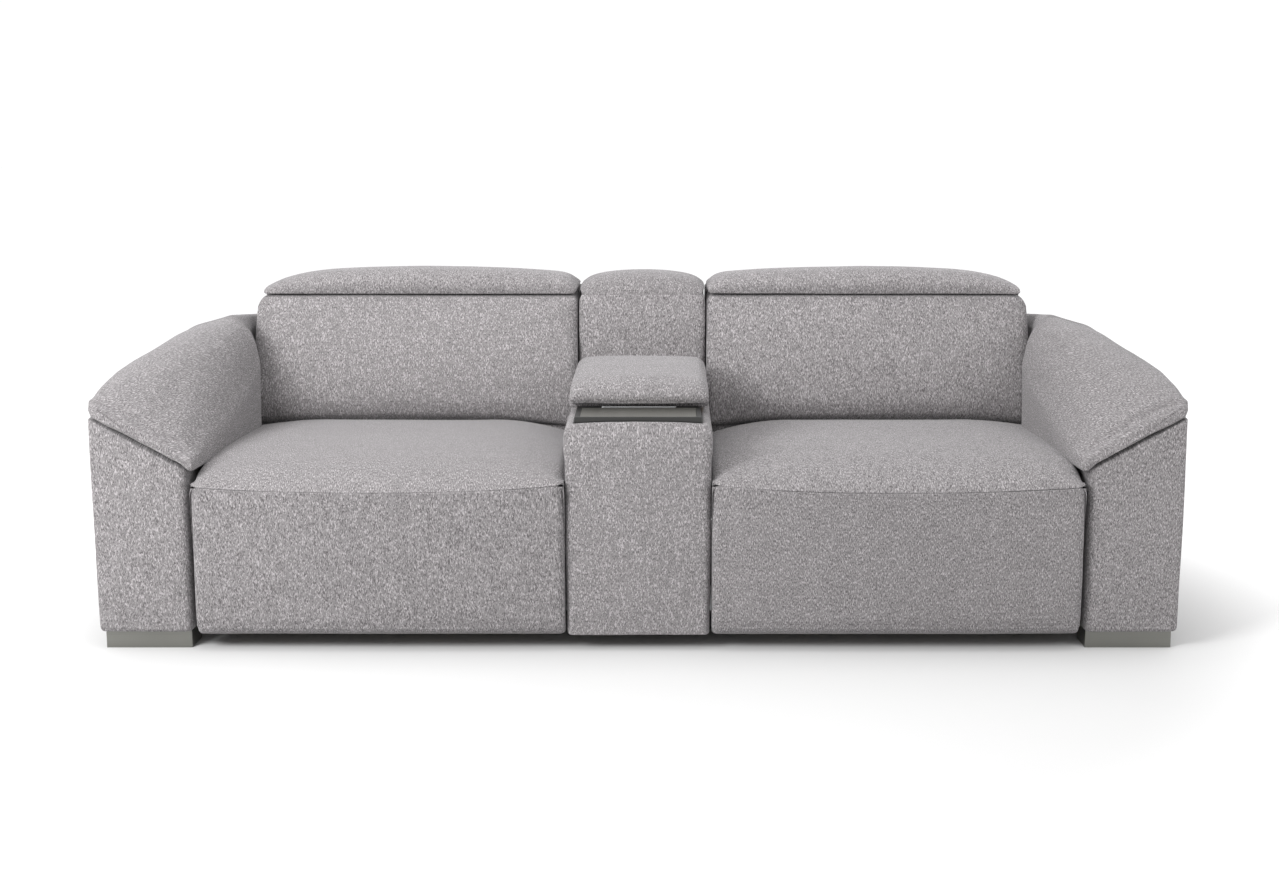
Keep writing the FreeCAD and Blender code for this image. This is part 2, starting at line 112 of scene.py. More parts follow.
def evened(poly, h, marks=(), hm=3.0, w=26.0):
    """Closed line cut again at spacing h, closer near the marked points."""
    q = np.vstack([poly, poly[:1]])
    seg = np.linalg.norm(np.diff(q, axis=0), axis=1)
    s = np.concatenate([[0], np.cumsum(seg)])
    dense = np.arange(0, s[-1], 0.5)
    py, pz = np.interp(dense, s, q[:, 0]), np.interp(dense, s, q[:, 1])
    want = np.full(len(dense), float(h))
    # tight bends get more points
    ty, tz = np.gradient(py), np.gradient(pz)
    ang = np.unwrap(np.arctan2(tz, ty))
    k = np.abs(np.gradient(ang)) / 0.5
    k = np.convolve(np.concatenate([k[-8:], k, k[:8]]), np.ones(17) / 17, "valid")
    want = np.minimum(want, np.clip(0.30 / np.maximum(k, 1e-4), 2.2, h))
    for m in marks:
        d = np.hypot(py - m[0], pz - m[1])
        want = np.minimum(want, hm + (h - hm) * sstep(3.0, w, d))
    c = np.concatenate([[0], np.cumsum(0.5 / want)])[:-1]
    n = max(12, int(round(c[-1])))
    at = np.interp(np.arange(n) * c[-1] / n, c, dense)
    pts = np.stack([np.interp(at, s, q[:, 0]), np.interp(at, s, q[:, 1])], 1)
    return pts, at, s[-1]


def inward(P):
    """Inward unit normals of a closed line (n, 2)."""
    t = np.roll(P, -1, 0) - np.roll(P, 1, 0)
    t /= np.maximum(np.linalg.norm(t, axis=1, keepdims=True), 1e-9)
    area = np.sum(P[:, 0] * np.roll(P[:, 1], -1) - np.roll(P[:, 0], -1) * P[:, 1])
    nrm = np.stack([-t[:, 1], t[:, 0]], 1)
    return nrm if area > 0 else -nrm


class Shell:
    """Collects grids of quads with cloth coordinates at their corners."""

    def __init__(self):
        self.v, self.n, self.f, self.c = [], 0, [], []

    def add(self, pts):
        pts = np.asarray(pts, float).reshape(-1, 3)
        base = self.n
        self.v.append(pts)
        self.n += len(pts)
        return base

    def grid(self, idx, uv):
        """idx (M, S) vertex numbers, uv (M, S, 2)."""
        a, b, c, d = idx[:-1, :-1], idx[1:, :-1], idx[1:, 1:], idx[:-1, 1:]
        f = np.stack([a, b, c, d], -1).reshape(-1, 4)
        u = np.stack([uv[:-1, :-1], uv[1:, :-1], uv[1:, 1:], uv[:-1, 1:]], 2).reshape(-1, 4, 2)
        self.f.append(f)
        self.c.append(u)

    def fan(self, ring, pole, uv_ring, uv_pole):
        a, b = ring, np.roll(ring, -1)
        f = np.stack([a, b, np.full(len(a), pole)], 1)
        u = np.stack([uv_ring, np.roll(uv_ring, -1, 0), np.repeat(uv_pole[None], len(a), 0)], 1)
        self.f.append(f)
        self.c.append(u)

    def build(self, name, seed=0.0, mirror=False):
        v = np.vstack(self.v)
        if mirror:
            v = v * np.array([-1, 1, 1])
        me = bpy.data.meshes.new(name)
        faces, corner = [], []
        for f, c in zip(self.f, self.c):
            faces += f.tolist()
            corner.append(c.reshape(-1, 2))
        me.from_pydata((v * 0.001).tolist(), [], faces)
        fab = np.zeros((len(me.loops), 3), np.float32)
        fab[:, :2] = np.vstack(corner) * 0.001
        fab[:, 2] = seed
        at = me.attributes.new("fab", "FLOAT_VECTOR", "CORNER")
        at.data.foreach_set("vector", fab.ravel())
        bm = bmesh.new()
        bm.from_mesh(me)
        bmesh.ops.recalc_face_normals(bm, faces=bm.faces)
        bm.to_mesh(me)
        bm.free()
        me.polygons.foreach_set("use_smooth", np.ones(len(me.polygons), bool))
        ob = bpy.data.objects.new(name, me)
        scene.collection.objects.link(ob)
        return ob


def along_x(poly, x0, x1, r0, r1, h=10.0, marks=(), hm=3.0, xmarks=(), bulge=(4, 4), centre=None, ends=6,
            shape=None, rings=7):
    """Cushion drawn out along X: the closed (y, z) line with rounded ends of radius r0, r1."""
    P, s, L = evened(poly, h, marks, hm)
    N = inward(P)
    ra = np.broadcast_to(r0(P) if callable(r0) else float(r0), (len(P),)).astype(float)
    rb = np.broadcast_to(r1(P) if callable(r1) else float(r1), (len(P),)).astype(float)
    X, I = [], []
    th = np.linspace(0, math.pi / 2, ends + 1)
    for t in th:
        X.append(x0 + ra * (1 - math.cos(t)))
        I.append(ra * (1 - math.sin(t)))
    lo, hi = x0 + ra.max(), x1 - rb.max()
    inner = [lo + (hi - lo) * k / max(2, int((hi - lo) / h)) for k in range(1, max(2, int((hi - lo) / h)))]
    for m in xmarks:
        inner += [m - 6, m - 2.6, m, m + 2.6, m + 6]
    inner = sorted(inner)
    keep = [inner[0]]
    for x in inner[1:]:
        if x - keep[-1] > 2.2:
            keep.append(x)
    for x in keep:
        X.append(np.full(len(P), x))
        I.append(np.zeros(len(P)))
    for t in th[::-1]:
        X.append(x1 - rb * (1 - math.cos(t)))
        I.append(rb * (1 - math.sin(t)))
    X, I = np.array(X), np.array(I)
    YZ = P[None] + N[None] * I[..., None]
    pts = np.concatenate([X[..., None], YZ], -1)
    sh = Shell()
    base = sh.add(pts)
    M, S = X.shape
    idx = base + np.arange(M * S).reshape(M, S)
    idx = np.concatenate([idx, idx[:, :1]], 1)
    uv = np.stack([np.broadcast_to(np.concatenate([X, X[:, :1]], 1), (M, S + 1)),
                   np.broadcast_to(np.concatenate([s, [L]])[None], (M, S + 1))], -1)
    sh.grid(idx, uv)
    cen = np.array(centre if centre is not None else P.mean(0), float)
    for end, sign, b in ((0, -1, bulge[0]), (M - 1, 1, bulge[1])):
        ring = pts[end]
        prev = idx[end]
        uvp = np.concatenate([ring[:, 1:], ring[:1, 1:]], 0)
        for k in range(1, rings):
            t = k / rings
            yz = cen + (ring[:, 1:] - cen) * (1 - t)
            x = ring[:, 0] + sign * b * (1 - (1 - t) ** 2)
            q = np.concatenate([x[:, None], yz], 1)
            bs = sh.add(q)
            cur = np.concatenate([bs + np.arange(S), [bs]])
            uvc = np.concatenate([yz, yz[:1]], 0)
            sh.grid(np.stack([prev, cur]), np.stack([uvp, uvc]))
            prev, uvp = cur, uvc
        pole = sh.add(np.array([[ring[:, 0].mean() + sign * b, cen[0], cen[1]]]))
        sh.fan(prev[:-1], pole, uvp[:-1], cen)
    if shape is not None:
        allv = np.vstack(sh.v)
        allv = shape(allv)
        sh.v = [allv]
    return sh


def along_y(sections, ys, rf, rr, ends=5, rings=5, centre=None, shape=None, marks_front=None):
    """Body drawn out along Y through (x, z) sections, all with the same number of points."""
    sec = np.array(sections)           # (M, S, 2)
    M, S, _ = sec.shape
    th = np.linspace(0, math.pi / 2, ends + 1)
    rows, Y = [], []

    def put(section, y, r, sign):
        N = inward(section)
        out = []
        for t in th:
            out.append((section + N * (r * (1 - math.sin(t)))[:, None], y + sign * r * (1 - math.cos(t))))
        return out

    r_f = np.broadcast_to(rf(sec[0]) if callable(rf) else float(rf), (S,)).astype(float)
    r_r = np.broadcast_to(rr(sec[-1]) if callable(rr) else float(rr), (S,)).astype(float)
    for q, y in put(sec[0], ys[0], r_f, 1):
        rows.append(q)
        Y.append(y)
    for q, y in zip(sec, ys):
        if ys[0] + r_f.max() + 2 < y < ys[-1] - r_r.max() - 2:
            rows.append(q)
            Y.append(np.full(S, float(y)))
    for q, y in put(sec[-1], ys[-1], r_r, -1)[::-1]:
        rows.append(q)
        Y.append(y)
    rows, Y = np.array(rows), np.array(Y)
    pts = np.stack([rows[..., 0], Y, rows[..., 1]], -1)
    sh = Shell()
    base = sh.add(pts)
    Mn = len(rows)
    idx = base + np.arange(Mn * S).reshape(Mn, S)
    idx = np.concatenate([idx, idx[:, :1]], 1)
    loop = np.concatenate([rows, rows[:, :1]], 1)
    s = np.concatenate([np.zeros((Mn, 1)), np.cumsum(np.linalg.norm(np.diff(loop, axis=1), axis=2), 1)], 1)
    # the yarn runs lengthwise, from the front to the rear and up the slope
    step = np.linalg.norm(np.diff(pts, axis=0), axis=2)
    run = np.concatenate([np.zeros((1, S)), np.cumsum(step, 0)], 0)
    run = np.stack([np.convolve(np.concatenate([r[-12:], r, r[:12]]), np.ones(25) / 25, "valid") for r in run])
    uv = np.stack([s, np.concatenate([run, run[:, :1]], 1)], -1)
    sh.grid(idx, uv)
    for end, sign in ((0, -1), (Mn - 1, 1)):
        ring = pts[end]
        cen = np.array([ring[:, 0].mean(), ring[:, 2].mean()]) if centre is None else np.array(centre[0 if end == 0 else 1], float)
        prev = idx[end]
        xz = ring[:, [0, 2]]
        uvp = np.concatenate([xz, xz[:1]], 0)
        for k in range(1, rings):
            t = k / rings
            q2 = cen + (xz - cen) * (1 - t)
            y = ring[:, 1] + sign * 2.0 * (1 - (1 - t) ** 2)
            q = np.stack([q2[:, 0], y, q2[:, 1]], 1)
            bs = sh.add(q)
            cur = np.concatenate([bs + np.arange(S), [bs]])
            uvc = np.concatenate([q2, q2[:1]], 0)
            sh.grid(np.stack([prev, cur]), np.stack([uvp, uvc]))
            prev, uvp = cur, uvc
        pole = sh.add(np.array([[cen[0], ring[:, 1].mean() + sign * 2.0, cen[1]]]))
        sh.fan(prev[:-1], pole, uvp[:-1], cen)
    if shape is not None:
        sh.v = [shape(np.vstack(sh.v))]
    return sh


# ------------------------------------------------------------------ cloth step
def coords(ob):
    co = np.empty(len(ob.data.vertices) * 3)
    ob.data.vertices.foreach_get("co", co)
    return co.reshape(-1, 3)


def set_coords(ob, co):
    ob.data.vertices.foreach_set("co", np.asarray(co, np.float32).ravel())
    ob.data.update()


def normals(ob):
    n = np.empty(len(ob.data.vertices) * 3)
    ob.data.vertex_normals.foreach_get("vector", n)
    return n.reshape(-1, 3)


to_puff = []


def puff(ob, pin, pressure=4.0, cap=12.0, room=None, stiff=15.0, floor=0.0):
    """Marks a piece for the cloth step. pin is 0 to 1 at each vertex, cap the largest move in mm,
    room ((lo, hi) in metres) the space it may fill."""
    to_puff.append((ob, pin, pressure, cap, room, stiff, floor))


def run_puff(frames=20):
    if not to_puff:
        return
    rest = {}
    for ob, pin, pressure, cap, room, stiff, floor in to_puff:
        rest[ob.name] = coords(ob)
        vg = ob.vertex_groups.new(name="hold")
        levels = np.round(pin * 10) / 10
        for lv in np.unique(levels):
            if lv > 0:
                vg.add(np.nonzero(levels == lv)[0].tolist(), float(lv), "REPLACE")
        m = ob.modifiers.new("Cloth", "CLOTH")
        st = m.settings
        st.quality = 4
        st.mass = 0.3
        st.tension_stiffness = stiff
        st.compression_stiffness = stiff
        st.shear_stiffness = stiff * 0.5
        st.bending_stiffness = 0.8
        st.use_pressure = True
        st.uniform_pressure_force = pressure
        st.vertex_group_mass = "hold"
        st.effector_weights.gravity = 0.0
        m.collision_settings.use_collision = False
        m.collision_settings.use_self_collision = False
        m.point_cache.frame_start = 1
        m.point_cache.frame_end = frames + 2
    for floor_shade_ramp in range(1, frames + 1):
        scene.frame_set(floor_shade_ramp)
    dg = bpy.context.evaluated_depsgraph_get()
    for ob, pin, pressure, cap, room, stiff, floor in to_puff:
        e = ob.evaluated_get(dg)
        co = np.empty(len(e.data.vertices) * 3)
        e.data.vertices.foreach_get("co", co)
        co = co.reshape(-1, 3)
        d = co - rest[ob.name]
        size = np.linalg.norm(d, axis=1)
        top = np.percentile(size, 98) if len(size) else 0
        gain = min(1.0, cap * 0.001 / max(top, 1e-6))
        if gain < 1:
            d = d * gain
        size = np.linalg.norm(d, axis=1, keepdims=True)
        d = d * np.minimum(1.0, cap * 0.00115 / np.maximum(size, 1e-9))
        ob.modifiers.remove(ob.modifiers["Cloth"])
        co = rest[ob.name] + d
        if room is not None:
            lo, hi = np.array(room[0]), np.array(room[1])
            co = np.minimum(np.maximum(co, np.minimum(lo, rest[ob.name])), np.maximum(hi, rest[ob.name]))
        ob.vertex_groups.clear()
        set_coords(ob, co)
        print("puffed", ob.name, "verts", len(co), "raw mm %.1f" % (top * 1000))
    scene.frame_set(1)


def finer(ob, levels=1):
    m = ob.modifiers.new("Fine", "SUBSURF")
    m.levels = m.render_levels = levels
    m.boundary_smooth = "PRESERVE_CORNERS"
    m.use_limit_surface = False
    dg = bpy.context.evaluated_depsgraph_get()
    me = bpy.data.meshes.new_from_object(ob.evaluated_get(dg))
    ob.modifiers.clear()
    old = ob.data
    ob.data = me
    bpy.data.meshes.remove(old)
    me.name = ob.name
    me.polygons.foreach_set("use_smooth", np.ones(len(me.polygons), bool))


def cloth_life(ob, seed, wave=0.9, small=0.25, mask=None):
    """Slow unevenness of stuffed cloth, in mm."""
    co, n = coords(ob), normals(ob)
    d = wave * vnoise(co * 5.5 + seed * 7.3, seed) + small * vnoise(co * 31.0 + seed * 3.1, seed + 5)
    if mask is not None:
        d = d * mask(co * 1000)
    set_coords(ob, co + n * (d * 0.001)[:, None])


def groove(ob, dist, depth=2.4, width=3.6, pucker=0.6, seed=1, reach=26.0, pitch=24.0, lip=0.35):
    """Sewn line: dist(co_mm) gives each point's distance from the line in mm."""
    co, n = coords(ob), normals(ob)
    d = np.abs(dist(co * 1000))
    cut = -depth * np.exp(-(d / width) ** 2)
    rise = lip * depth * np.exp(-((d - 3.1 * width) / (2.2 * width)) ** 2)
    p = pucker * np.exp(-(d / reach) ** 1.4) * vnoise(co * (1000.0 / pitch) + seed, seed + 11)
    set_coords(ob, co + n * ((cut + rise * 0.6 + p) * 0.001)[:, None])


def mirrored(ob, name, seed):
    me = ob.data.copy()
    me.name = name
    co = np.empty(len(me.vertices) * 3)
    me.vertices.foreach_get("co", co)
    co = co.reshape(-1, 3) * np.array([-1, 1, 1])
    me.vertices.foreach_set("co", co.astype(np.float32).ravel())
    me.flip_normals()
    fab = np.empty(len(me.loops) * 3)
    me.attributes["fab"].data.foreach_get("vector", fab)
    fab = fab.reshape(-1, 3)
    fab[:, 2] = seed
    me.attributes["fab"].data.foreach_set("vector", fab.astype(np.float32).ravel())
    me.update()
    new = bpy.data.objects.new(name, me)
    scene.collection.objects.link(new)
    return new


# ------------------------------------------------------------------ materials
def nodes_of(name):
    m = bpy.data.materials.new(name)
    m.use_nodes = True
    nt = m.node_tree
    nt.nodes.clear()
    out = nt.nodes.new("ShaderNodeOutputMaterial")
    b = nt.nodes.new("ShaderNodeBsdfPrincipled")
    nt.links.new(b.outputs[0], out.inputs[0])
    return m, nt, b


def math_node(nt, op, a, b=None, c=None, clamp=False):
    n = nt.nodes.new("ShaderNodeMath")
    n.operation = op
    n.use_clamp = clamp
    for k, v in enumerate((a, b, c)):
        if v is None:
            continue
        if isinstance(v, (int, float)):
            n.inputs[k].default_value = v
        else:
            nt.links.new(v, n.inputs[k])
    return n.outputs[0]


def ramp(nt, fac, stops, mode="LINEAR"):
    r = nt.nodes.new("ShaderNodeValToRGB")
    r.color_ramp.interpolation = mode
    while len(r.color_ramp.elements) < len(stops):
        r.color_ramp.elements.new(0.5)
    for e, (p, c) in zip(r.color_ramp.elements, stops):
        e.position = p
        e.color = (c[0], c[1], c[2], 1) if hasattr(c, "__len__") else (c, c, c, 1)
    nt.links.new(fac, r.inputs[0])
    return r.outputs[0]


def noise(nt, vec, scale=1.0, detail=2.0, rough=0.5, dist=0.0, dims="3D"):
    n = nt.nodes.new("ShaderNodeTexNoise")
    n.noise_dimensions = dims
    n.inputs["Scale"].default_value = scale
    n.inputs["Detail"].default_value = detail
    n.inputs["Roughness"].default_value = rough
    n.inputs["Distortion"].default_value = dist
    nt.links.new(vec, n.inputs["Vector"])
    return n.outputs["Fac"]


def scaled(nt, vec, xyz, add=(0, 0, 0)):
    n = nt.nodes.new("ShaderNodeVectorMath")
    n.operation = "MULTIPLY_ADD"
    nt.links.new(vec, n.inputs[0])
    n.inputs[1].default_value = xyz
    n.inputs[2].default_value = add
    return n.outputs[0]


def mix_rgb(nt, mode, fac, a, b):
    n = nt.nodes.new("ShaderNodeMix")
    n.data_type = "RGBA"
    n.blend_type = mode
    for sock, v in ((n.inputs[0], fac), (n.inputs[6], a), (n.inputs[7], b)):
        if isinstance(v, (int, float)):
            sock.default_value = v
        elif isinstance(v, tuple):
            sock.default_value = (*v, 1)
        else:
            nt.links.new(v, sock)
    return n.outputs[2]


def fabric(name, tint=(1.0, 0.955, 0.965), level=1.0):
    m, nt, b = nodes_of(name)
    at = nt.nodes.new("ShaderNodeAttribute")
    at.attribute_name = "fab"
    v = at.outputs["Vector"]
    # yarn flecks: thin across, long along the panel
    f1 = noise(nt, scaled(nt, v, (450, 150, 17)), 1.0, 2.0, 0.6, 0.3)
    f2 = noise(nt, scaled(nt, v, (540, 195, 31), (3.7, 1.9, 5)), 1.0, 1.0, 0.5, 0.2)
    f3 = noise(nt, scaled(nt, v, (900, 640, 13), (9, 4, 2)), 1.0, 2.0, 0.6)
    body = noise(nt, scaled(nt, v, (2.2, 2.2, 3)), 1.0, 2.0, 0.5)
    blot = noise(nt, scaled(nt, v, (38, 24, 7)), 1.0, 2.0, 0.5)
    light = ramp(nt, f1, [(0.51, 0.0), (0.61, 1.0)])
    dark = ramp(nt, f2, [(0.38, 1.0), (0.47, 0.0)])
    base = (0.183 * tint[0] * level, 0.183 * tint[1] * level, 0.183 * tint[2] * level)
    hi = (0.385 * tint[0] * level, 0.38 * tint[1] * level, 0.385 * tint[2] * level)
    lo = (0.072 * tint[0] * level, 0.068 * tint[1] * level, 0.070 * tint[2] * level)
    c = mix_rgb(nt, "MIX", math_node(nt, "MULTIPLY", light, 0.82), base, hi)
    c = mix_rgb(nt, "MIX", math_node(nt, "MULTIPLY", dark, 0.82), c, lo)
    g = math_node(nt, "MULTIPLY_ADD", f3, 0.36, 0.82)
    g = math_node(nt, "MULTIPLY", g, math_node(nt, "MULTIPLY_ADD", body, 0.10, 0.95))
    g = math_node(nt, "MULTIPLY", g, math_node(nt, "MULTIPLY_ADD", blot, 0.24, 0.88))
    comb = nt.nodes.new("ShaderNodeCombineColor")
    for k in range(3):
        nt.links.new(g, comb.inputs[k])
    c = mix_rgb(nt, "MULTIPLY", 1.0, c, comb.outputs[0])
    nt.links.new(c, b.inputs["Base Color"])
    b.inputs["Roughness"].default_value = 0.93
    b.inputs["Sheen Weight"].default_value = 0.22
    b.inputs["Sheen Roughness"].default_value = 0.45
    b.inputs["Sheen Tint"].default_value = (0.95, 0.94, 0.96, 1)
    b.inputs["Specular IOR Level"].default_value = 0.18
    h = math_node(nt, "MULTIPLY_ADD", f1, 1.0, 0.0)
    h = math_node(nt, "MULTIPLY_ADD", f2, 0.6, h)
    h = math_node(nt, "MULTIPLY_ADD", f3, 0.35, h)
    bump = nt.nodes.new("ShaderNodeBump")
    bump.inputs["Strength"].default_value = 0.75
    bump.inputs["Distance"].default_value = 0.0016
    nt.links.new(h, bump.inputs["Height"])
    nt.links.new(bump.outputs[0], b.inputs["Normal"])
    return m


def obj_coord(nt):
    t = nt.nodes.new("ShaderNodeTexCoord")
    return t.outputs["Object"]


def metal(name, colour, rough, brush=(4, 4, 900), worn=0.06, metallic=1.0, bump=0.0):
    m, nt, b = nodes_of(name)
    v = obj_coord(nt)
    line = noise(nt, scaled(nt, v, brush), 1.0, 3.0, 0.6)
    cloud = noise(nt, v, 14.0, 3.0, 0.55)
    k = math_node(nt, "MULTIPLY_ADD", line, 0.22, 0.89)
    k = math_node(nt, "MULTIPLY", k, math_node(nt, "MULTIPLY_ADD", cloud, worn * 2, 1.0 - worn))
    comb = nt.nodes.new("ShaderNodeCombineColor")
    for i in range(3):
        nt.links.new(math_node(nt, "MULTIPLY", k, colour[i]), comb.inputs[i])
    nt.links.new(comb.outputs[0], b.inputs["Base Color"])
    b.inputs["Metallic"].default_value = metallic
    nt.links.new(math_node(nt, "MULTIPLY_ADD", line, 0.18, rough - 0.09), b.inputs["Roughness"])
    if bump:
        bp = nt.nodes.new("ShaderNodeBump")
        bp.inputs["Strength"].default_value = bump
        bp.inputs["Distance"].default_value = 0.0004
        nt.links.new(line, bp.inputs["Height"])
        nt.links.new(bp.outputs[0], b.inputs["Normal"])
    return m


def plastic(name, colour, rough, grain=1400, bump=0.25, coat=0.0, var=0.10):
    m, nt, b = nodes_of(name)
    v = obj_coord(nt)
    g = noise(nt, v, grain, 2.0, 0.5)
    cl = noise(nt, v, 22.0, 3.0, 0.55)
    k = math_node(nt, "MULTIPLY_ADD", g, var, 1.0 - var / 2)
    k = math_node(nt, "MULTIPLY", k, math_node(nt, "MULTIPLY_ADD", cl, 0.14, 0.93))
    comb = nt.nodes.new("ShaderNodeCombineColor")
    for i in range(3):
        nt.links.new(math_node(nt, "MULTIPLY", k, colour[i]), comb.inputs[i])
    nt.links.new(comb.outputs[0], b.inputs["Base Color"])
    nt.links.new(math_node(nt, "MULTIPLY_ADD", cl, 0.12, rough - 0.06), b.inputs["Roughness"])
    b.inputs["Coat Weight"].default_value = coat
    b.inputs["Coat Roughness"].default_value = 0.12
    bp = nt.nodes.new("ShaderNodeBump")
    bp.inputs["Strength"].default_value = bump
    bp.inputs["Distance"].default_value = 0.0003
    nt.links.new(g, bp.inputs["Height"])
    nt.links.new(bp.outputs[0], b.inputs["Normal"])
    return m


def wood(name, tone=1.0):
    m, nt, b = nodes_of(name)
    v = obj_coord(nt)
    g = noise(nt, scaled(nt, v, (7, 7, 120)), 1.0, 4.0, 0.6, 0.8)
    p = noise(nt, scaled(nt, v, (60, 60, 1500)), 1.0, 2.0, 0.6)
    k = math_node(nt, "MULTIPLY_ADD", p, 0.3, g)
    c = ramp(nt, k, [(0.35, (0.30 * tone, 0.18 * tone, 0.09 * tone)), (0.6, (0.52 * tone, 0.36 * tone, 0.21 * tone)),
                     (0.9, (0.66 * tone, 0.50 * tone, 0.32 * tone))])
    nt.links.new(c, b.inputs["Base Color"])
    b.inputs["Roughness"].default_value = 0.62
    bp = nt.nodes.new("ShaderNodeBump")
    bp.inputs["Strength"].default_value = 0.3
    bp.inputs["Distance"].default_value = 0.0006
    nt.links.new(k, bp.inputs["Height"])
    nt.links.new(bp.outputs[0], b.inputs["Normal"])
    return m


def webbing(name):
    m, nt, b = nodes_of(name)
    v = obj_coord(nt)
    w1 = nt.nodes.new("ShaderNodeTexWave")
    w1.bands_direction = "X"
    w1.inputs["Scale"].default_value = 5.2
    nt.links.new(v, w1.inputs["Vector"])
    w2 = nt.nodes.new("ShaderNodeTexWave")
    w2.bands_direction = "Y"
    w2.inputs["Scale"].default_value = 5.2
    nt.links.new(v, w2.inputs["Vector"])
    k = math_node(nt, "MAXIMUM", w1.outputs["Fac"], w2.outputs["Fac"])
    fine = noise(nt, scaled(nt, v, (900, 900, 900)), 1.0, 2.0, 0.5)
    c = ramp(nt, k, [(0.15, (0.010, 0.010, 0.011)), (0.4, (0.055, 0.052, 0.05)), (1.0, (0.10, 0.095, 0.09))])
    g = nt.nodes.new("ShaderNodeCombineColor")
    f = math_node(nt, "MULTIPLY_ADD", fine, 0.5, 0.75)
    for i in range(3):
        nt.links.new(f, g.inputs[i])
    nt.links.new(mix_rgb(nt, "MULTIPLY", 1.0, c, g.outputs[0]), b.inputs["Base Color"])
    b.inputs["Roughness"].default_value = 0.9
    bp = nt.nodes.new("ShaderNodeBump")
    bp.inputs["Strength"].default_value = 0.8
    bp.inputs["Distance"].default_value = 0.002
    nt.links.new(k, bp.inputs["Height"])
    nt.links.new(bp.outputs[0], b.inputs["Normal"])
    return m


FAB = fabric("cloth_grey")
CLOTH_BACK_PAINTED_LIGHTER = fabric("cloth_grey_back_painted_lighter", level=1.07)  # painted light: a lighter copy of the cloth, so the backs and headrests look paler as if more light fell on them
# painted light: a still lighter copy of the cloth for the middle back, standing in for the light that the lid shades
# from it
CLOTH_MID_PAINTED_LIGHTER = fabric("cloth_grey_middle_painted_lighter", level=1.13)
# painted shade: a darker copy of the cloth for the legrest fronts, standing in for the shade low down at the front
CLOTH_LEG_PAINTED_SHADE = fabric("cloth_grey_front_painted_shade", level=0.95)
FOOT = metal("satin_steel_foot", (0.215, 0.215, 0.198), 0.40, (3, 3, 700), 0.05, 1.0, 0.2)
BLACK_STEEL = metal("black_lacquered_steel", (0.035, 0.035, 0.037), 0.45, (60, 60, 60), 0.2, 0.35, 0.15)
BRIGHT = metal("zinc_steel", (0.62, 0.63, 0.64), 0.34, (25, 500, 25), 0.10, 1.0, 0.15)
WOOD = wood("plywood")
STAINED = wood("stained_plywood", 0.07)
BLACK_PL = plastic("black_plastic", (0.020, 0.020, 0.021), 0.46)
TRAY = plastic("tray_frame_finish", (0.009, 0.009, 0.0082), 0.46, 900, 0.06, 0.05, 0.06)
FLAP = metal("tray_panel_finish", (0.200, 0.197, 0.180), 0.38, (500, 6, 6), 0.05, 0.85, 0.05)
WEB = webbing("elastic_webbing")


def dress(ob, mat):
    ob.data.materials.clear()
    ob.data.materials.append(mat)


NODE_MAT = {
    "arm_frames": STAINED, "console_carcass": STAINED, "legrest_board": WOOD, "lid_plate": WOOD,
    "front_feet": FOOT, "rear_feet": BLACK_PL, "base_frame": BLACK_STEEL, "seat_frame": BLACK_STEEL,
    "seat_webbing": WEB, "actuator_rod": BRIGHT, "legrest_motor": BLACK_PL, "drive_tube": BRIGHT,
    "legrest_links": BLACK_STEEL, "back_frame": BLACK_STEEL, "back_levers": BLACK_STEEL,
    "headrest_ratchets": BRIGHT, "headrest_plates": BRIGHT, "recline_uprights": BLACK_STEEL,
    "recline_actuators": BLACK_PL, "joining_brackets": BRIGHT, "storage_bin": BLACK_PL, "tray_frame": TRAY,
    "tray_flap": FLAP, "lid_hinges": BRIGHT, "console_back_frame": STAINED, "control_box": BLACK_PL,
    "switch_plates": BLACK_PL, "rocker": BLACK_PL,
}
for name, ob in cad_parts.items():
    for key, mat in NODE_MAT.items():
        if name.startswith(key):
            for k in range(max(1, len(ob.material_slots))):
                if not ob.material_slots:
                    ob.data.materials.append(mat)
                ob.material_slots[k].link = "OBJECT"
                ob.material_slots[k].material = mat
            break


# ------------------------------------------------------------------ seat shapes
XM, HW = 567.5, 405.0                     # middle and half width of a seat


def across(x):
    return np.clip((np.abs(x) - XM) / HW, -1, 1)


def seam_shift(co):
    """The sewn line dips a little in the middle of the seat."""
    t = across(co[:, 0])
    w = sstep(-440, -490, co[:, 1]) * np.exp(-((co[:, 2] - 366) / 34) ** 2)
    return (-3.5 + np.where(t < 0, 15.0, 10.0) * np.abs(t) ** 2.4) * w


def seat_shape(co):
    t = across(co[:, 0])
    out = co.copy()
    top = sstep(366, 404, co[:, 2])
    rear = sstep(-450, 50, co[:, 1])
    ti = np.clip((371 - np.abs(co[:, 0])) / 205, 0, 1)
    to = np.clip((np.abs(co[:, 0]) - 780) / 195, 0, 1)
    out[:, 2] -= ((9.0 + 26.0 * rear) * ti ** 2.0 + (7.0 + 11.0 * rear) * to ** 1.9) * top
    front = sstep(-430, -512, co[:, 1])
    ax = np.abs(co[:, 0])
    corner = 15.0 * np.clip((ax - 942) / 36, 0, 1) ** 2 + 10.0 * np.clip((196 - ax) / 34, 0, 1) ** 2
    out[:, 2] -= corner * sstep(-420, -470, co[:, 1]) * sstep(370, 392, co[:, 2])
    out[:, 1] += 5.0 * np.clip((ax - 942) / 36, 0, 1) ** 2 * front
    out[:, 1] -= 13.0 * (1 - t ** 2) * front
    out[:, 2] += seam_shift(co)
    return out


def panel_shape(co):
    t = across(co[:, 0])
    out = co.copy()
    front = sstep(-490, -512, co[:, 1])
    low = np.clip((co[:, 2] - 36) / 330, 0, 1)
    out[:, 1] -= (13.0 * (1 - t ** 2) * (0.35 + 0.65 * low)) * front
    out[:, 1] += 5.0 * np.clip((np.abs(co[:, 0]) - 942) / 36, 0, 1) ** 2 * front
    out[:, 2] += seam_shift(co)
    return out


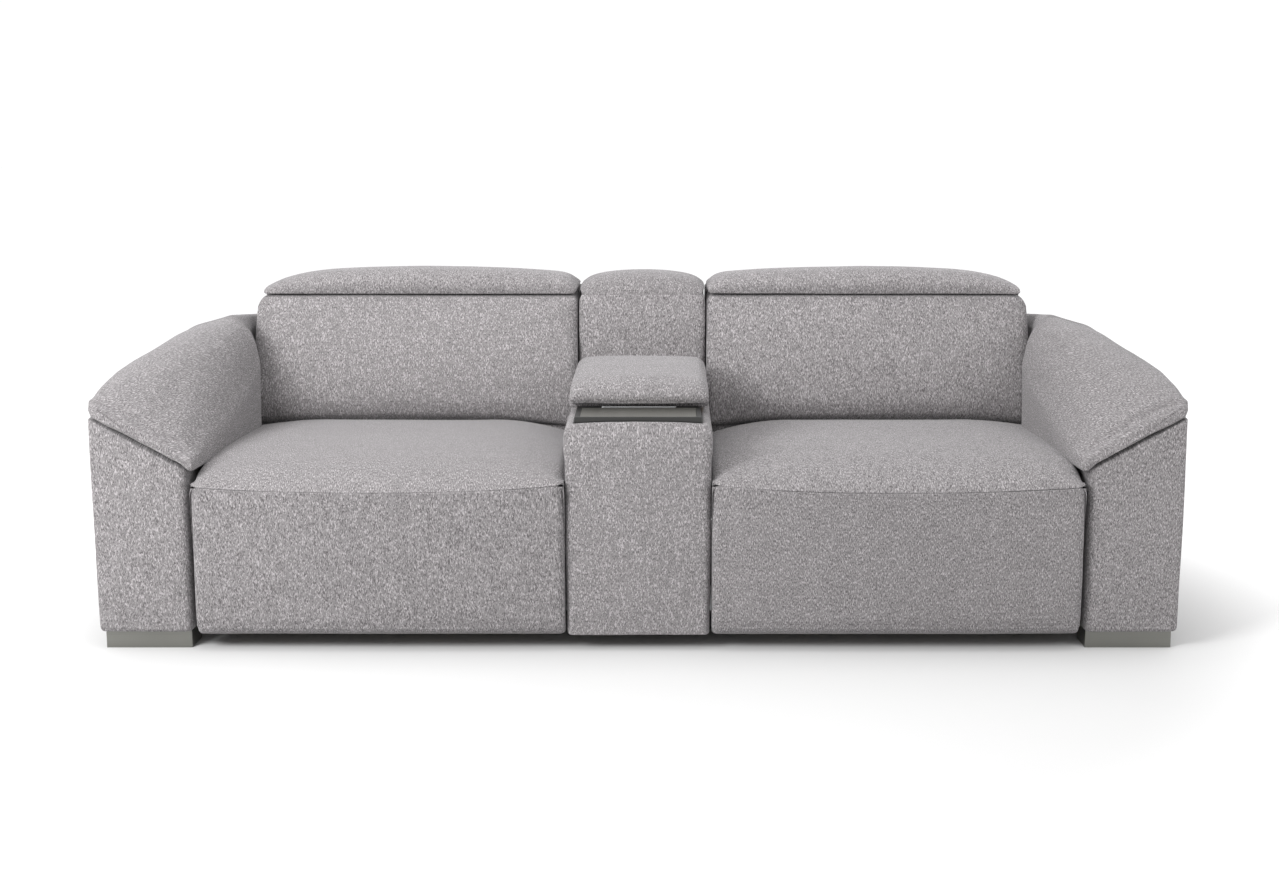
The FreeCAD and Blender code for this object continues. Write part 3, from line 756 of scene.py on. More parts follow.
seat_poly, _ = rounded(
    [(117, 268), (117, 404), (106, 420), (0, 424), (-150, 427), (-300, 423), (-400, 416), (-462, 406), (-501, 390),
     (-516, 366.0), (-368, 366.0), (-368, 268)],
    [3, 8, 12, 80, 120, 100, 80, 60, 30, 1.9, 3, 3], 6)
seat_sh = along_x(
    seat_poly, 162.5, 977.5,
    lambda P: np.where(P[:, 0] < -495, 18, 6 + 14 * sstep(370, 400, P[:, 1])),
    lambda P: np.where(P[:, 0] < -495, 18, 6 + 15 * sstep(370, 400, P[:, 1])),
    h=11, marks=[(-516, 366.0)], hm=2.6, bulge=(2.0, 1.0), centre=(-120, 340), shape=seat_shape)

panel_poly, _ = rounded(
    [(-456, 200), (-456, 361.5), (-516.3, 366.6), (-518, 300), (-519, 160), (-515, 74), (-504, 46), (-486, 35.5),
     (-456, 35.5)],
    [1, 6, 1.9, 90, 120, 50, 18, 10, 6], 6)
panel_sh = along_x(
    panel_poly, 162.0, 978.0, lambda P: 6 + 13 * sstep(-470, -500, P[:, 0]), lambda P: 6 + 13 * sstep(-470, -500, P[:, 0]),
    h=11, marks=[(-516, 366), (-511, 60)], hm=2.6, bulge=(0.5, 0.5), centre=(-486, 200), shape=panel_shape)


# ------------------------------------------------------------------ backs
def notch(co, edge, sign):
    """Takes the corners in where a headrest meets its back. sign 1: the end at |x| = edge is the inner one."""
    out = co.copy()
    d = np.clip(1 - sign * (np.abs(co[:, 0]) - edge) / 26.0, 0, 1)
    w = np.exp(-((co[:, 2] - 722.5) / 10.0) ** 2) * d ** 2
    out[:, 0] += np.sign(co[:, 0]) * sign * 6.0 * w
    out[:, 1] += 9.0 * w * sstep(300, 210, co[:, 1])
    return out


def back_shape(co):
    t = across(co[:, 0])
    out = co.copy()
    f = sstep(230, 150, co[:, 1]) * sstep(400, 470, co[:, 2])
    out[:, 1] -= 9.0 * (1 - np.abs(t) ** 3.0) * f * (1 - 0.5 * sstep(640, 720, co[:, 2]))
    # the lower end dips into the seat, a little less at the sides
    low = sstep(480, 410, co[:, 2]) * sstep(150, 110, co[:, 1])
    out[:, 2] -= np.where(t < 0, 26.0, 12.0) * np.abs(t) ** 2.8 * low
    out = notch(out, 161.8, 1)
    # the outer top corner falls away, as the headrest over it does
    xo = np.clip((np.abs(co[:, 0]) - 925) / 42, 0, 1)
    out[:, 2] -= 16.0 * xo ** 2 * sstep(660, 722, co[:, 2])
    return out


back_poly, _ = rounded(
    [(326, 300), (326, 722), (219, 722.3), (194.5, 715.8), (176, 672), (148, 612), (125, 555), (109, 500), (101, 460),
     (106, 432), (124, 417), (137, 406), (137, 322), (192, 300)],
    [5, 8, 9, 6, 60, 80, 80, 60, 34, 16, 9, 4, 4, 5], 6)
back_sh = along_x(
    back_poly, 161.8, 969.0,
    lambda P: 5 + 13 * sstep(300, 210, P[:, 0]),
    lambda P: 6 + 14 * sstep(300, 210, P[:, 0]),
    h=11, marks=[(205, 715)], hm=4, bulge=(1.0, 3.0), centre=(225, 545), shape=back_shape)


HEAD_TOP = ([160, 164, 168, 173, 180, 188, 211, 290, 364, 569, 697, 799, 848, 881, 912, 929, 949, 960],
            [734, 738, 744, 750.5, 758, 763, 769.5, 774, 777, 781.7, 779.2, 775, 770, 764, 756, 749, 739, 735])


def head_shape(co):
    out = co.copy()
    x = np.abs(co[:, 0])
    top = sum(np.interp(x + d, *HEAD_TOP) for d in (-6, -3, 0, 3, 6)) / 5
    f = (top - 727.0) / (782.5 - 727.0)
    up = np.clip(co[:, 2] - 727.0, 0, 100)
    out[:, 2] = np.minimum(co[:, 2], 727.0) + up * f
    # the front leans back a little towards the ends
    out[:, 1] += (1 - f) * 10.0 * sstep(300, 200, co[:, 1]) * sstep(722, 745, co[:, 2])
    return notch(out, 162.5, 1)


head_poly, _ = rounded(
    [(330, 728), (448, 730), (457, 745), (434, 762), (375, 776), (300, 782.5), (244, 781), (210, 771), (193, 754),
     (192.5, 737), (196.5, 723.2), (208, 724), (214, 728)],
    [20, 9, 10, 26, 50, 60, 36, 24, 16, 8, 2.5, 3, 4], 6)
head_sh = along_x(head_poly, 162.8, 950.0, 7.0, 7.0, h=10, marks=[(198, 724)], hm=3.2, bulge=(1.5, 2.0), centre=(320, 756),
                  shape=head_shape, rings=5)


# ------------------------------------------------------------------ middle back
def mid_shape(co):
    out = co.copy()
    t = np.clip(co[:, 0] / 158.0, -1, 1)
    f = sstep(300, 200, co[:, 1]) * sstep(330, 420, co[:, 2])
    out[:, 1] -= (7.0 - 5.0 * sstep(660, 600, co[:, 2])) * (1 - np.abs(t) ** 2.6) * f
    return notch(out, 158.2, -1)


mid_poly, _ = rounded(
    [(332, 302), (332, 722.5), (197, 722.5), (192.6, 721), (181, 678), (170, 620), (164, 560), (161, 500), (158, 400),
     (158, 302)],
    [4, 8, 0.8, 3, 60, 60, 60, 60, 40, 6], 6)
mid_sh = along_x(mid_poly, -158.2, 158.2, lambda P: 5 + 11 * sstep(300, 210, P[:, 0]) * sstep(722, 690, P[:, 1]),
                 lambda P: 5 + 11 * sstep(300, 210, P[:, 0]) * sstep(722, 690, P[:, 1]), h=9, marks=[(205, 715)], hm=4, bulge=(1, 1),
                 centre=(245, 520), shape=mid_shape)


def midhead_shape(co):
    out = co.copy()
    x = np.abs(co[:, 0])
    top = sum(np.interp(x + d, [0, 30, 57, 90, 118, 136, 146, 153, 160], [775, 774.4, 772.5, 769, 763.5, 757, 750, 743, 735])
              for d in (-5, -2.5, 0, 2.5, 5)) / 5
    f = (top - 726.0) / (779.0 - 726.0)
    up = np.clip(co[:, 2] - 726.0, 0, 100)
    out[:, 2] = np.minimum(co[:, 2], 726.0) + up * f
    out[:, 1] += (1 - f) * 8.0 * sstep(300, 200, co[:, 1]) * sstep(722, 745, co[:, 2])
    out[:, 1] -= 5.0 * (1 - np.clip(np.abs(co[:, 0]) / 158.0, 0, 1) ** 2.6) * sstep(300, 200, co[:, 1])
    return notch(out, 157.8, -1)


midhead_poly, _ = rounded(
    [(330, 722.5), (444, 724), (454, 744), (430, 760), (372, 773), (300, 779), (248, 777), (216, 767), (200, 749), (194, 733),
     (192.4, 719.8), (214, 720)],
    [20, 9, 12, 24, 50, 60, 36, 24, 18, 10, 0.9, 3], 6)
midhead_sh = along_x(midhead_poly, -157.8, 157.8, 6.0, 6.0, h=9, bulge=(1, 1), centre=(320, 752),
                     shape=midhead_shape, rings=5)


# ------------------------------------------------------------------ arms
# pad sections (x, z): bottom middle, kink, over the arm's inner edge, lip inside, lip outside,
# wall, slope 1 to 4, outer face, outer bottom
PAD = {
    -496: [(1125, 488), (1056, 451), (1000, 420), (983, 405), (971, 404), (968, 424),
           (1008, 462), (1086, 513), (1150, 544), (1189, 554), (1202, 544), (1196, 523)],
    -400: [(1125, 501), (1053, 467), (1000, 436), (983, 404), (962, 403), (958, 441),
           (1001, 510), (1079, 571), (1147, 590), (1188, 583), (1203, 560), (1197, 528)],
    -300: [(1125, 513), (1050, 487), (998, 454), (983, 404), (955, 402), (949, 458),
           (988, 549), (1063, 611), (1129, 621), (1181, 600), (1203, 574), (1197, 533)],
    -180: [(1125, 521), (1048, 522), (996, 494), (983, 404), (947, 402), (940, 488),
           (970, 590), (1037, 649), (1113, 643), (1181, 605), (1203, 578), (1197, 538)],
    -60: [(1125, 530), (1045, 562), (994, 545), (983, 404), (940, 402), (934, 520),
          (954, 622), (1013, 677), (1101, 657), (1181, 607), (1203, 581), (1197, 543)],
    62: [(1125, 545), (1040, 600), (994, 592), (983, 404), (934, 402), (930, 560),
         (946, 640), (995, 686), (1097, 659), (1181, 605), (1203, 582), (1197, 548)],
    84: [(1125, 548), (1040, 602), (1000, 592), (984, 520), (958, 520), (946, 596),
         (956, 646), (996, 687), (1099, 660), (1182, 606), (1204, 583), (1197, 548)],
    104: [(1125, 548), (1040, 602), (1004, 594), (992, 590), (985, 594), (978, 626),
          (981, 660), (1002, 686), (1100, 657), (1181, 604), (1204, 582), (1197, 548)],
    300: [(1125, 548), (1040, 602), (1004, 594), (992, 590), (986, 594), (981, 618),
          (986, 646), (1006, 666), (1100, 640), (1182, 598), (1203, 578), (1197, 548)],
    430: [(1125, 548), (1040, 600), (1004, 594), (992, 590), (986, 594), (982, 614),
          (987, 636), (1008, 652), (1100, 628), (1180, 590), (1201, 574), (1197, 548)],
    503: [(1125, 548), (1040, 600), (1006, 594), (996, 590), (989, 594), (987, 604),
          (993, 616), (1012, 624), (1100, 608), (1176, 576), (1195, 564), (1193, 549)],
}
PAD_RAD = [30, 20, 8, 5, 9, 90, 150, 110, 90, 34, 12, 6]


def pad_sections():
    ks = sorted(PAD)
    ref = [np.array(p, float) for p in PAD[-60]]
    cnt = [6, 4, 8, 2, 8, 8, 6, 7, 7, 1, 1, 5]
    ys = []
    y = -496.0
    while y < 503:
        ys.append(y)
        y += 4.0 if 52 < y < 116 else 10.0
    ys.append(503.0)
    fine = np.arange(-496, 503.5, 1.0)
    ctrl = np.array([PAD[k] for k in ks], float)          # (K, 12, 2)
    dense = np.stack([[np.interp(fine, ks, ctrl[:, i, j]) for j in (0, 1)] for i in range(12)])   # (12, 2, F)
    # soften the joins between the stations
    for _ in range(3):
        pad = np.concatenate([2 * dense[..., :1] - dense[..., 12:0:-1], dense, 2 * dense[..., -1:] - dense[..., -2:-14:-1]], -1)
        ker = np.hanning(27)[1:-1]
        ker /= ker.sum()
        dense = np.apply_along_axis(lambda a: np.convolve(a, ker, "valid"), -1, pad)
    out = []
    for y in ys:
        k = int(round(y + 496))
        pts = [tuple(dense[i, :, min(k, dense.shape[-1] - 1)]) for i in range(12)]
        poly, _ = rounded(pts, PAD_RAD, nb=5, fine=cnt)
        out.append(poly)
    return out, ys


pad_sec, pad_y = pad_sections()


def pad_front_r(P):
    # softer along the top than under the edge
    S = len(P)
    j = np.arange(S)
    up = sstep(0.46 * S, 0.52 * S, j) * sstep(0.985 * S, 0.93 * S, j)
    return 9 + 17 * up


pad_sh = along_y(pad_sec, pad_y, pad_front_r, 20.0, ends=7, rings=4, centre=[(1090, 478), (1085, 605)])

# arm body: rounded plan drawn up to the sloping top
ARM_TOPS = {
    -490: [(1190, 519), (1058, 444), (985, 404)], -300: [(1190, 530), (1050, 479), (985, 440)],
    -60: [(1190, 540), (1045, 556), (985, 539)], 80: [(1190, 545), (1040, 598), (985, 587)],
    505: [(1190, 545), (1040, 598), (985, 587)],
}


def arm_top(x, y):
    ks = sorted(ARM_TOPS)
    zs = []
    for k in ks:
        xs = [p[0] for p in ARM_TOPS[k]][::-1]
        zz = [p[1] for p in ARM_TOPS[k]][::-1]
        zs.append(np.interp(x, xs, zz))
    zs = np.array(zs)
    out = np.zeros(len(x))
    for i in range(len(ks) - 1):
        w = (y >= ks[i]) & (y <= ks[i + 1])
        t = (y - ks[i]) / (ks[i + 1] - ks[i])
        out = np.where(w, zs[i] * (1 - t) + zs[i + 1] * t, out)
    out = np.where(y < ks[0], zs[0], out)
    return np.where(y > ks[-1], zs[-1], out)


def arm_body():
    plan, _ = rounded([(988.5, 100), (988.5, 503), (1199, 503), (1199, -490), (988.5, -490)], [2, 16, 24, 15, 20], 9)
    P, s, L = evened(plan, 12, marks=[(988.5, -490), (1199, -490)], hm=6, w=40)
    N = inward(P)
    S = len(P)
    zs = []
    th = np.linspace(0, math.pi / 2, 6)
    rb = 12.0
    rows = []
    for t in th:
        rows.append(("z", 39.5 + rb * (1 - math.cos(t)), rb * (1 - math.sin(t))))
    z = 39.5 + rb
    n = 34
    sh = Shell()
    pts = []
    for kind, z0, ins in rows:
        q = P + N * ins
        pts.append(np.stack([q[:, 0], q[:, 1], np.full(S, z0)], 1))
    for k in range(1, n + 1):
        t = k / n
        q = P.copy()
        top = arm_top(np.clip(q[:, 0], 985, 1190), np.clip(q[:, 1], -490, 505)) - 1.5
        zz = z + (top - z) * t
        pts.append(np.stack([q[:, 0], q[:, 1], zz], 1))
    # roll over the top edge
    for ins, dz in ((0.8, 0.9), (2.6, 1.6), (6, 2.0), (12, 2.0)):
        q = P + N * ins
        top = arm_top(np.clip(q[:, 0], 985, 1190), np.clip(q[:, 1], -490, 505)) - 1.5
        pts.append(np.stack([q[:, 0], q[:, 1], top + dz - 1.0], 1))
    pts = np.array(pts)
    M = len(pts)
    base = sh.add(pts)
    idx = base + np.arange(M * S).reshape(M, S)
    idx = np.concatenate([idx, idx[:, :1]], 1)
    zc = np.concatenate([pts[..., 2], pts[:, :1, 2]], 1)
    uv = np.stack([np.broadcast_to(np.concatenate([s, [L]])[None], zc.shape), zc], -1)
    sh.grid(idx, uv)
    for end, zfun in ((0, False), (M - 1, True)):
        ring = pts[end]
        cen = np.array([1087.0, 8.0])
        prev = idx[end]
        uvp = np.concatenate([ring[:, :2], ring[:1, :2]], 0)
        K = 9
        for k in range(1, K):
            t = k / K
            q = cen + (ring[:, :2] - cen) * (1 - t)
            if zfun:
                zz = arm_top(np.clip(q[:, 0], 985, 1190), np.clip(q[:, 1], -490, 505)) - 1.0
            else:
                zz = np.full(S, 39.5)
            bs = sh.add(np.stack([q[:, 0], q[:, 1], zz], 1))
            cur = np.concatenate([bs + np.arange(S), [bs]])
            uvc = np.concatenate([q, q[:1]], 0)
            sh.grid(np.stack([prev, cur]), np.stack([uvp, uvc]))
            prev, uvp = cur, uvc
        zc0 = float(arm_top(np.array([1087.0]), np.array([8.0]))[0]) - 1.0 if zfun else 39.5
        pole = sh.add(np.array([[cen[0], cen[1], zc0]]))
        sh.fan(prev[:-1], pole, uvp[:-1], cen)
    v = np.vstack(sh.v)
    # the outer face leans in towards the floor, the faces are lightly stuffed
    z = v[:, 2]
    outer = sstep(1080, 1194, v[:, 0])
    lean = 2.0 * np.clip((330 - z) / 290, 0, 1) ** 1.6
    v[:, 0] -= lean * outer
    hgt = sstep(39, 110, z)
    w = np.clip((v[:, 0] - 985) / 204, 0, 1)
    v[:, 1] -= 4.5 * (4 * w * (1 - w)) * sstep(-420, -488, v[:, 1]) * hgt
    v[:, 0] += 3.0 * sstep(1150, 1194, v[:, 0]) * hgt * np.cos(np.clip(v[:, 1] / 520, -1, 1) * math.pi / 2)
    sh.v = [v]
    return sh


arm_sh = arm_body()


# ------------------------------------------------------------------ console
def console_cover():
    """Padded cloth round the front and both sides of the console box: a thick band swept along a
    U in plan, turned in over the top of the box as far as the tray."""
    def path(u):
        x, y, r = 160.5 - u, -499.5 + u, max(19.0 - u, 1.4)
        side = np.linspace(139.5, y + r, 62)
        left = [(x, v) for v in side[:-1]]
        arc = [(x - r + r * math.cos(t), y + r + r * math.sin(t)) for t in np.linspace(0, -math.pi / 2, 9)]
        front = [(v, y) for v in np.linspace(x - r, -(x - r), 31)[1:-1]]
        arc2 = [(-a, b) for a, b in arc[::-1]]
        right = [(-x, v) for v in side[:-1][::-1]]
        return np.array(left + arc + front + arc2 + right)

    wall = list(np.linspace(50, 425, 34)) + list(np.linspace(432, 478, 7))
    outer = [(3.8, 36.2), (1.2, 37.4), (0, 41)] + [(0, z) for z in wall] + [
        (0.0, 486), (1.0, 493), (3.4, 499.5), (7.0, 504.6), (11.6, 507.6), (15.6, 508.6)]
    inner = [(7.6, 36.2), (10.3, 37.4), (11.5, 41)] + [(11.5, z) for z in wall] + [
        (11.5, 486), (11.5, 493), (11.9, 498.2), (16.6, 498.6), (21.0, 500.2), (20.2, 506.6)]
    sec = outer + inner[::-1]
    K, M = len(outer), len(sec)
    rows = np.stack([path(u) for u, z in sec])               # (M, S, 2)
    S = rows.shape[1]
    pts = np.concatenate([rows, np.broadcast_to(np.array([z for u, z in sec])[:, None, None], (M, S, 1))], -1)
    run = np.concatenate([[0], np.cumsum(np.linalg.norm(np.diff(rows[0], axis=0), axis=1))])
    lens = np.concatenate([[0], np.cumsum(np.linalg.norm(np.diff(np.array(sec), axis=0), axis=1))])
    sh = Shell()
    base = sh.add(pts)
    idx = base + np.arange(M * S).reshape(M, S)
    uv = np.stack([np.broadcast_to(run[None], (M, S)), np.broadcast_to(lens[:, None], (M, S))], -1)
    sh.grid(np.vstack([idx, idx[:1]]), np.concatenate([uv, uv[:1]], 0))
    for col in (0, S - 1):
        a, b = idx[:K, col], idx[K:, col][::-1]
        q = pts[:, col]
        ua, ub = q[:K, 1:], q[K:, 1:][::-1]
        sh.grid(np.stack([a, b]), np.stack([ua, ub]))
    v = np.vstack(sh.v)
    x, y, z = v[:, 0].copy(), v[:, 1].copy(), v[:, 2].copy()
    side = np.sign(x)
    outer = sstep(150.5, 158, np.abs(x))
    # fuller above the seats, taken in towards the floor and round the switch
    v[:, 0] += side * outer * (2.6 * sstep(425, 450, z) * sstep(503, 484, z) - 3.0 * np.clip((300 - z) / 270, 0, 1) ** 1.5)
    dip = np.maximum(np.abs(y + 220) - 27, 0) ** 2 + np.maximum(np.abs(z - 465) - 13, 0) ** 2
    v[:, 0] -= side * outer * 7.5 * np.exp(-dip / 9.0 ** 2)
    # the top is a little higher in front of the tray, and lower at the rear under the lid
    v[:, 2] += 5.0 * (1 - np.clip(np.abs(x) / 150, 0, 1) ** 2.5) * sstep(-470, -478, y) * sstep(486, 504, z)
    v[:, 2] -= 2.0 * sstep(-340, -300, y) * sstep(499, 505, z)
    # front: lightly stuffed, rolled back at its top
    f = sstep(-470, -498, y)
    v[:, 1] -= 6.0 * (1 - (x / 160.5) ** 2) * f * sstep(40, 120, z) * sstep(502, 440, z)
    v[:, 1] += 5.0 * sstep(462, 500, z) ** 2 * sstep(-484, -497, y)
    sh.v = [v]
    return sh


console_sh = console_cover()


def lid_shape(co):
    out = co.copy()
    t = np.clip(co[:, 0] / 156.0, -1, 1)
    up = sstep(535, 575, co[:, 2])
    out[:, 2] -= 6.0 * np.abs(t) ** 3.0 * up
    f = sstep(-300, -345, co[:, 1])
    out[:, 1] -= 5.0 * (1 - t ** 2) * f
    return out


lid_poly, _ = rounded(
    [(95, 517.5), (-319, 517.5), (-322, 529.5), (-346, 531.0), (-353, 550), (-337, 572), (-290, 584), (-150, 591), (20, 590.5),
     (66, 584), (90, 552)],
    [3, 3, 4, 9, 16, 34, 70, 80, 40, 24, 14], 5)
lid_sh = along_x(lid_poly, -157.0, 157.0, lambda P: 5 + 20 * sstep(530, 568, P[:, 1]),
                 lambda P: 5 + 20 * sstep(530, 568, P[:, 1]), h=9, marks=[(-350, 536)], hm=4, bulge=(0.6, 0.6),
                 centre=(-120, 546), shape=lid_shape, rings=5)

# bright strip let into the rear bar of the tray frame, under the lid's front edge
strip_poly, _ = rounded([(-339.5, 520.5), (-339.5, 523.6), (-334.0, 523.9), (-334.0, 520.5)], [0.6, 1.2, 1.2, 0.6], 3, nb=4)
strip_sh = along_x(strip_poly, -84.0, 84.0, 1.2, 1.2, h=4, ends=3, bulge=(0.6, 0.6), rings=2)

# ------------------------------------------------------------------ rear covers
rear_poly, _ = rounded(
    [(450, 166), (484, 166), (506, 350), (511, 600), (499, 694), (476, 723), (388, 723), (388, 701), (460, 701), (472, 600),
     (468, 350)],
    [3, 9, 60, 60, 16, 12, 4, 3, 5, 30, 30], 6)


def rear_shape(co):
    out = co.copy()
    t = across(co[:, 0])
    f = sstep(470, 500, co[:, 1])
    out[:, 1] -= 6.0 * np.abs(t) ** 3 * f
    return out


rear_sh = along_x(rear_poly, 161.8, 965.0, 5.0, 9.0, h=11, marks=[(486, 182)], hm=4, xmarks=(XM,), bulge=(0.4, 0.6),
                  centre=(488, 500), shape=rear_shape, rings=3)
crear_poly, _ = rounded(
    [(461, 47), (496, 47), (507, 350), (511, 600), (499, 694), (476, 724), (388, 724), (388, 703), (460, 703), (472, 600),
     (468, 350)],
    [3, 9, 60, 60, 16, 12, 4, 3, 5, 30, 30], 6)
crear_sh = along_x(crear_poly, -157.8, 157.8, 5.0, 5.0, h=10, marks=[(497, 64)], hm=4, bulge=(0.3, 0.3),
                   centre=(488, 400), rings=3)


def skirt(x0, x1, y0, y1, z0, z1):
    p, _ = rounded([(y0, z0), (y0, z1), (y1, z1), (y1, z0)], [2, 2, 2, 2], 14)
    return along_x(p, x0, x1, 1.6, 1.6, h=14, ends=3, bulge=(0, 0), rings=3)


# ------------------------------------------------------------------ make the pieces
seat = seat_sh.build("seat_cover_right", 0.11)
panel = panel_sh.build("legrest_cover_right", 0.23)
back = back_sh.build("back_cushion_cover_right", 0.31)
head = head_sh.build("headrest_cover_right", 0.43)
mid = mid_sh.build("middle_back_cover", 0.57)
midhead = midhead_sh.build("middle_head_cover", 0.61)
pad = pad_sh.build("arm_pad_cover_right", 0.71)
arm = arm_sh.build("arm_body_cover_right", 0.83)
console = console_sh.build("console_side_cover", 0.97)
lid = lid_sh.build("lid_pad_cover", 1.07)
rear = rear_sh.build("back_rear_panel_right", 1.21)
crear = crear_sh.build("console_rear_panel", 1.33)
strip = strip_sh.build("tray_bright_strip", 1.4)


def pins(ob, fn):
    co = coords(ob) * 1000
    return np.clip(fn(co[:, 0], co[:, 1], co[:, 2]), 0, 1)


puff(seat, pins(seat, lambda x, y, z: np.maximum(1 - sstep(368, 384, z), sstep(96, 112, y))), 3.0, 5.0,
     ((0.1625, -0.6, 0.2), (0.9735, 0.2, 0.43)))
puff(panel, pins(panel, lambda x, y, z: np.maximum.reduce([sstep(-490, -470, y), sstep(352, 362, z), 1 - sstep(42, 60, z)])),
     3.0, 3.5, ((0.162, -0.6, 0.0), (0.9735, 0.2, 0.5)))
puff(back, pins(back, lambda x, y, z: np.maximum.reduce([sstep(215, 250, y), sstep(704, 716, z), 1 - sstep(398, 420, z)])),
     3.0, 6.0, ((0.1618, 0.08, 0.2), (0.969, 0.5, 0.726)))
puff(head, pins(head, lambda x, y, z: 1 - sstep(742, 752, z)), 3.0, 3.5, ((0.1635, 0.1, 0.7), (0.953, 0.5, 0.81)))
puff(mid, pins(mid, lambda x, y, z: np.maximum.reduce([sstep(235, 270, y), sstep(706, 718, z), 1 - sstep(330, 400, z)])),
     3.0, 3.0, ((-0.1585, 0.1, 0.2), (0.1585, 0.5, 0.73)))
puff(midhead, pins(midhead, lambda x, y, z: 1 - sstep(736, 746, z)), 3.0, 2.5, ((-0.1582, 0.1, 0.7), (0.1582, 0.5, 0.80)))
puff(pad, pins(pad, lambda x, y, z: np.where(z < 403.5 + 0 * x, 1.0, 0.0)), 2.0, 3.0,
     ((0.92, -0.503, 0.39), (1.206, 0.51, 0.70)))
puff(lid, pins(lid, lambda x, y, z: 1 - sstep(520, 534, z)), 3.0, 3.0, ((-0.159, -0.4, 0.5), (0.159, 0.1, 0.6)))
run_puff()

for ob in (seat, panel, back, head, mid, midhead, pad, arm, console, lid, rear, crear):
    finer(ob, 1)


def joined(ob, extra):
    bpy.ops.object.select_all(action="DESELECT")
    for o in extra + [ob]:
        o.select_set(True)
    bpy.context.view_layer.objects.active = ob
    bpy.ops.object.join()


# gussets between each back cushion and its rear panel, and the panel under the headrest
joined(rear, [skirt(*box).build("gusset", 1.21 + 0.02 * i) for i, box in enumerate((
    (962.8, 967.6, 318, 470, 292, 719), (162.4, 166.4, 318, 460, 292, 719), (163.5, 966.5, 316, 396, 715.2, 720.4)))])
# deck between the lid and the middle back
deck_poly, _ = rounded([(113, 499), (113, 509), (120, 513), (150, 513), (156, 508), (156, 499)], [1, 4, 8, 6, 3, 1], 5)
joined(console, [along_x(deck_poly, -148.6, 148.6, 2.0, 2.0, h=9, ends=3, bulge=(0.2, 0.2), rings=3).build("deck", 1.1)])


# ------------------------------------------------------------------ sewn lines
def line_y(yv, zlo, zhi, ylo=-9e9, yhi=9e9):
    return lambda c: np.where((c[:, 2] > zlo) & (c[:, 2] < zhi) & (c[:, 1] > ylo) & (c[:, 1] < yhi),
                              np.abs(c[:, 1] - yv), 99.0)


groove(panel, lambda c: np.where(c[:, 1] < -480, np.abs(c[:, 2] - (55 + 2.5 * across(c[:, 0]) ** 2)), 99), 0.9, 2.6, 0.35, 3)
# seam along the front edge of the arm pad, between its band and its top
co = coords(pad) * 1000


def pad_seam(c):
    # the line lies on the front roll, above the lower front edge
    low = np.interp(c[:, 0], [966, 983, 1056, 1125, 1195], [404, 405, 447, 484, 523])
    h = c[:, 2] - low
    return np.where((c[:, 1] < -440) & (h > 5), np.abs(h - 33.0 + 0.02 * np.abs(c[:, 0] - 1090)) * 0.85, 99.0)


groove(pad, pad_seam, 2.3, 2.8, 0.6, 8)
groove(rear, lambda c: np.abs(np.abs(c[:, 0]) - XM), 2.0, 3.0, 0.4, 12)
groove(rear, lambda c: np.abs(c[:, 2] - 184), 1.6, 3.0, 0.4, 13)
groove(crear, lambda c: np.abs(c[:, 2] - 66), 1.6, 3.0, 0.4, 14)
groove(lid, lambda c: np.where(c[:, 2] < 545, np.abs(c[:, 2] - 535.5), 99.0), 1.0, 2.4, 0.3, 15)


def back_mask(c):
    return sstep(330, 250, c[:, 1])


pairs = []
for ob, left in ((seat, "seat_cover_left"), (panel, "legrest_cover_left"), (back, "back_cushion_cover_left"),
                 (head, "headrest_cover_left"), (pad, "arm_pad_cover_left"), (arm, "arm_body_cover_left"),
                 (rear, "back_rear_panel_left")):
    pairs.append((ob, mirrored(ob, left, 2.0 + 0.37 * len(pairs))))
amp = {"seat_cover": 1.3, "legrest_cover": 1.0, "back_cushion": 1.3, "headrest": 0.8, "arm_pad": 1.3, "arm_body": 1.1,
       "back_rear": 0.7}
k = 0
for a, b in pairs:
    for ob in (a, b):
        k += 1
        w = next(v for n, v in amp.items() if ob.name.startswith(n))
        cloth_life(ob, k, w, 0.22)
for n, ob in enumerate((mid, midhead, console, lid, crear)):
    cloth_life(ob, 40 + n, 0.7, 0.2)

(seat_r, seat_l), (panel_r, panel_l), (back_r, back_l), (head_r, head_l), (pad_r, pad_l), (arm_r, arm_l), (rear_r, rear_l) = pairs

# side skirts of the middle back, sewn to its rear panel
parts = []
for sx in (-1, 1):
    a, b = sorted((sx * 150.8, sx * 155.2))
    parts.append(skirt(a, b, 143, 339, 36, 295).build("skirt", 1.4))
    parts.append(skirt(a, b, 387, 458, 36, 689).build("skirt", 1.5))
bpy.ops.object.select_all(action="DESELECT")
for o in parts + [crear]:
    o.select_set(True)
bpy.context.view_layer.objects.active = crear
bpy.ops.object.join()

# backs and headrests get the painted lighter cloth, the middle back a still lighter one, the legrests a darker one for
# painted shade
for o in (seat_r, seat_l, panel_r, panel_l, back_r, back_l, head_r, head_l, pad_r, pad_l, arm_r, arm_l, rear_r, rear_l,
          mid, midhead, console, lid, crear):
    dress(o, CLOTH_BACK_PAINTED_LIGHTER if o.name.startswith(("back_cushion", "headrest")) else
          CLOTH_MID_PAINTED_LIGHTER if o.name == "middle_back_cover" else
          CLOTH_LEG_PAINTED_SHADE if o.name.startswith("legrest") else FAB)

dress(strip, BRIGHT)
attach(strip, "base")

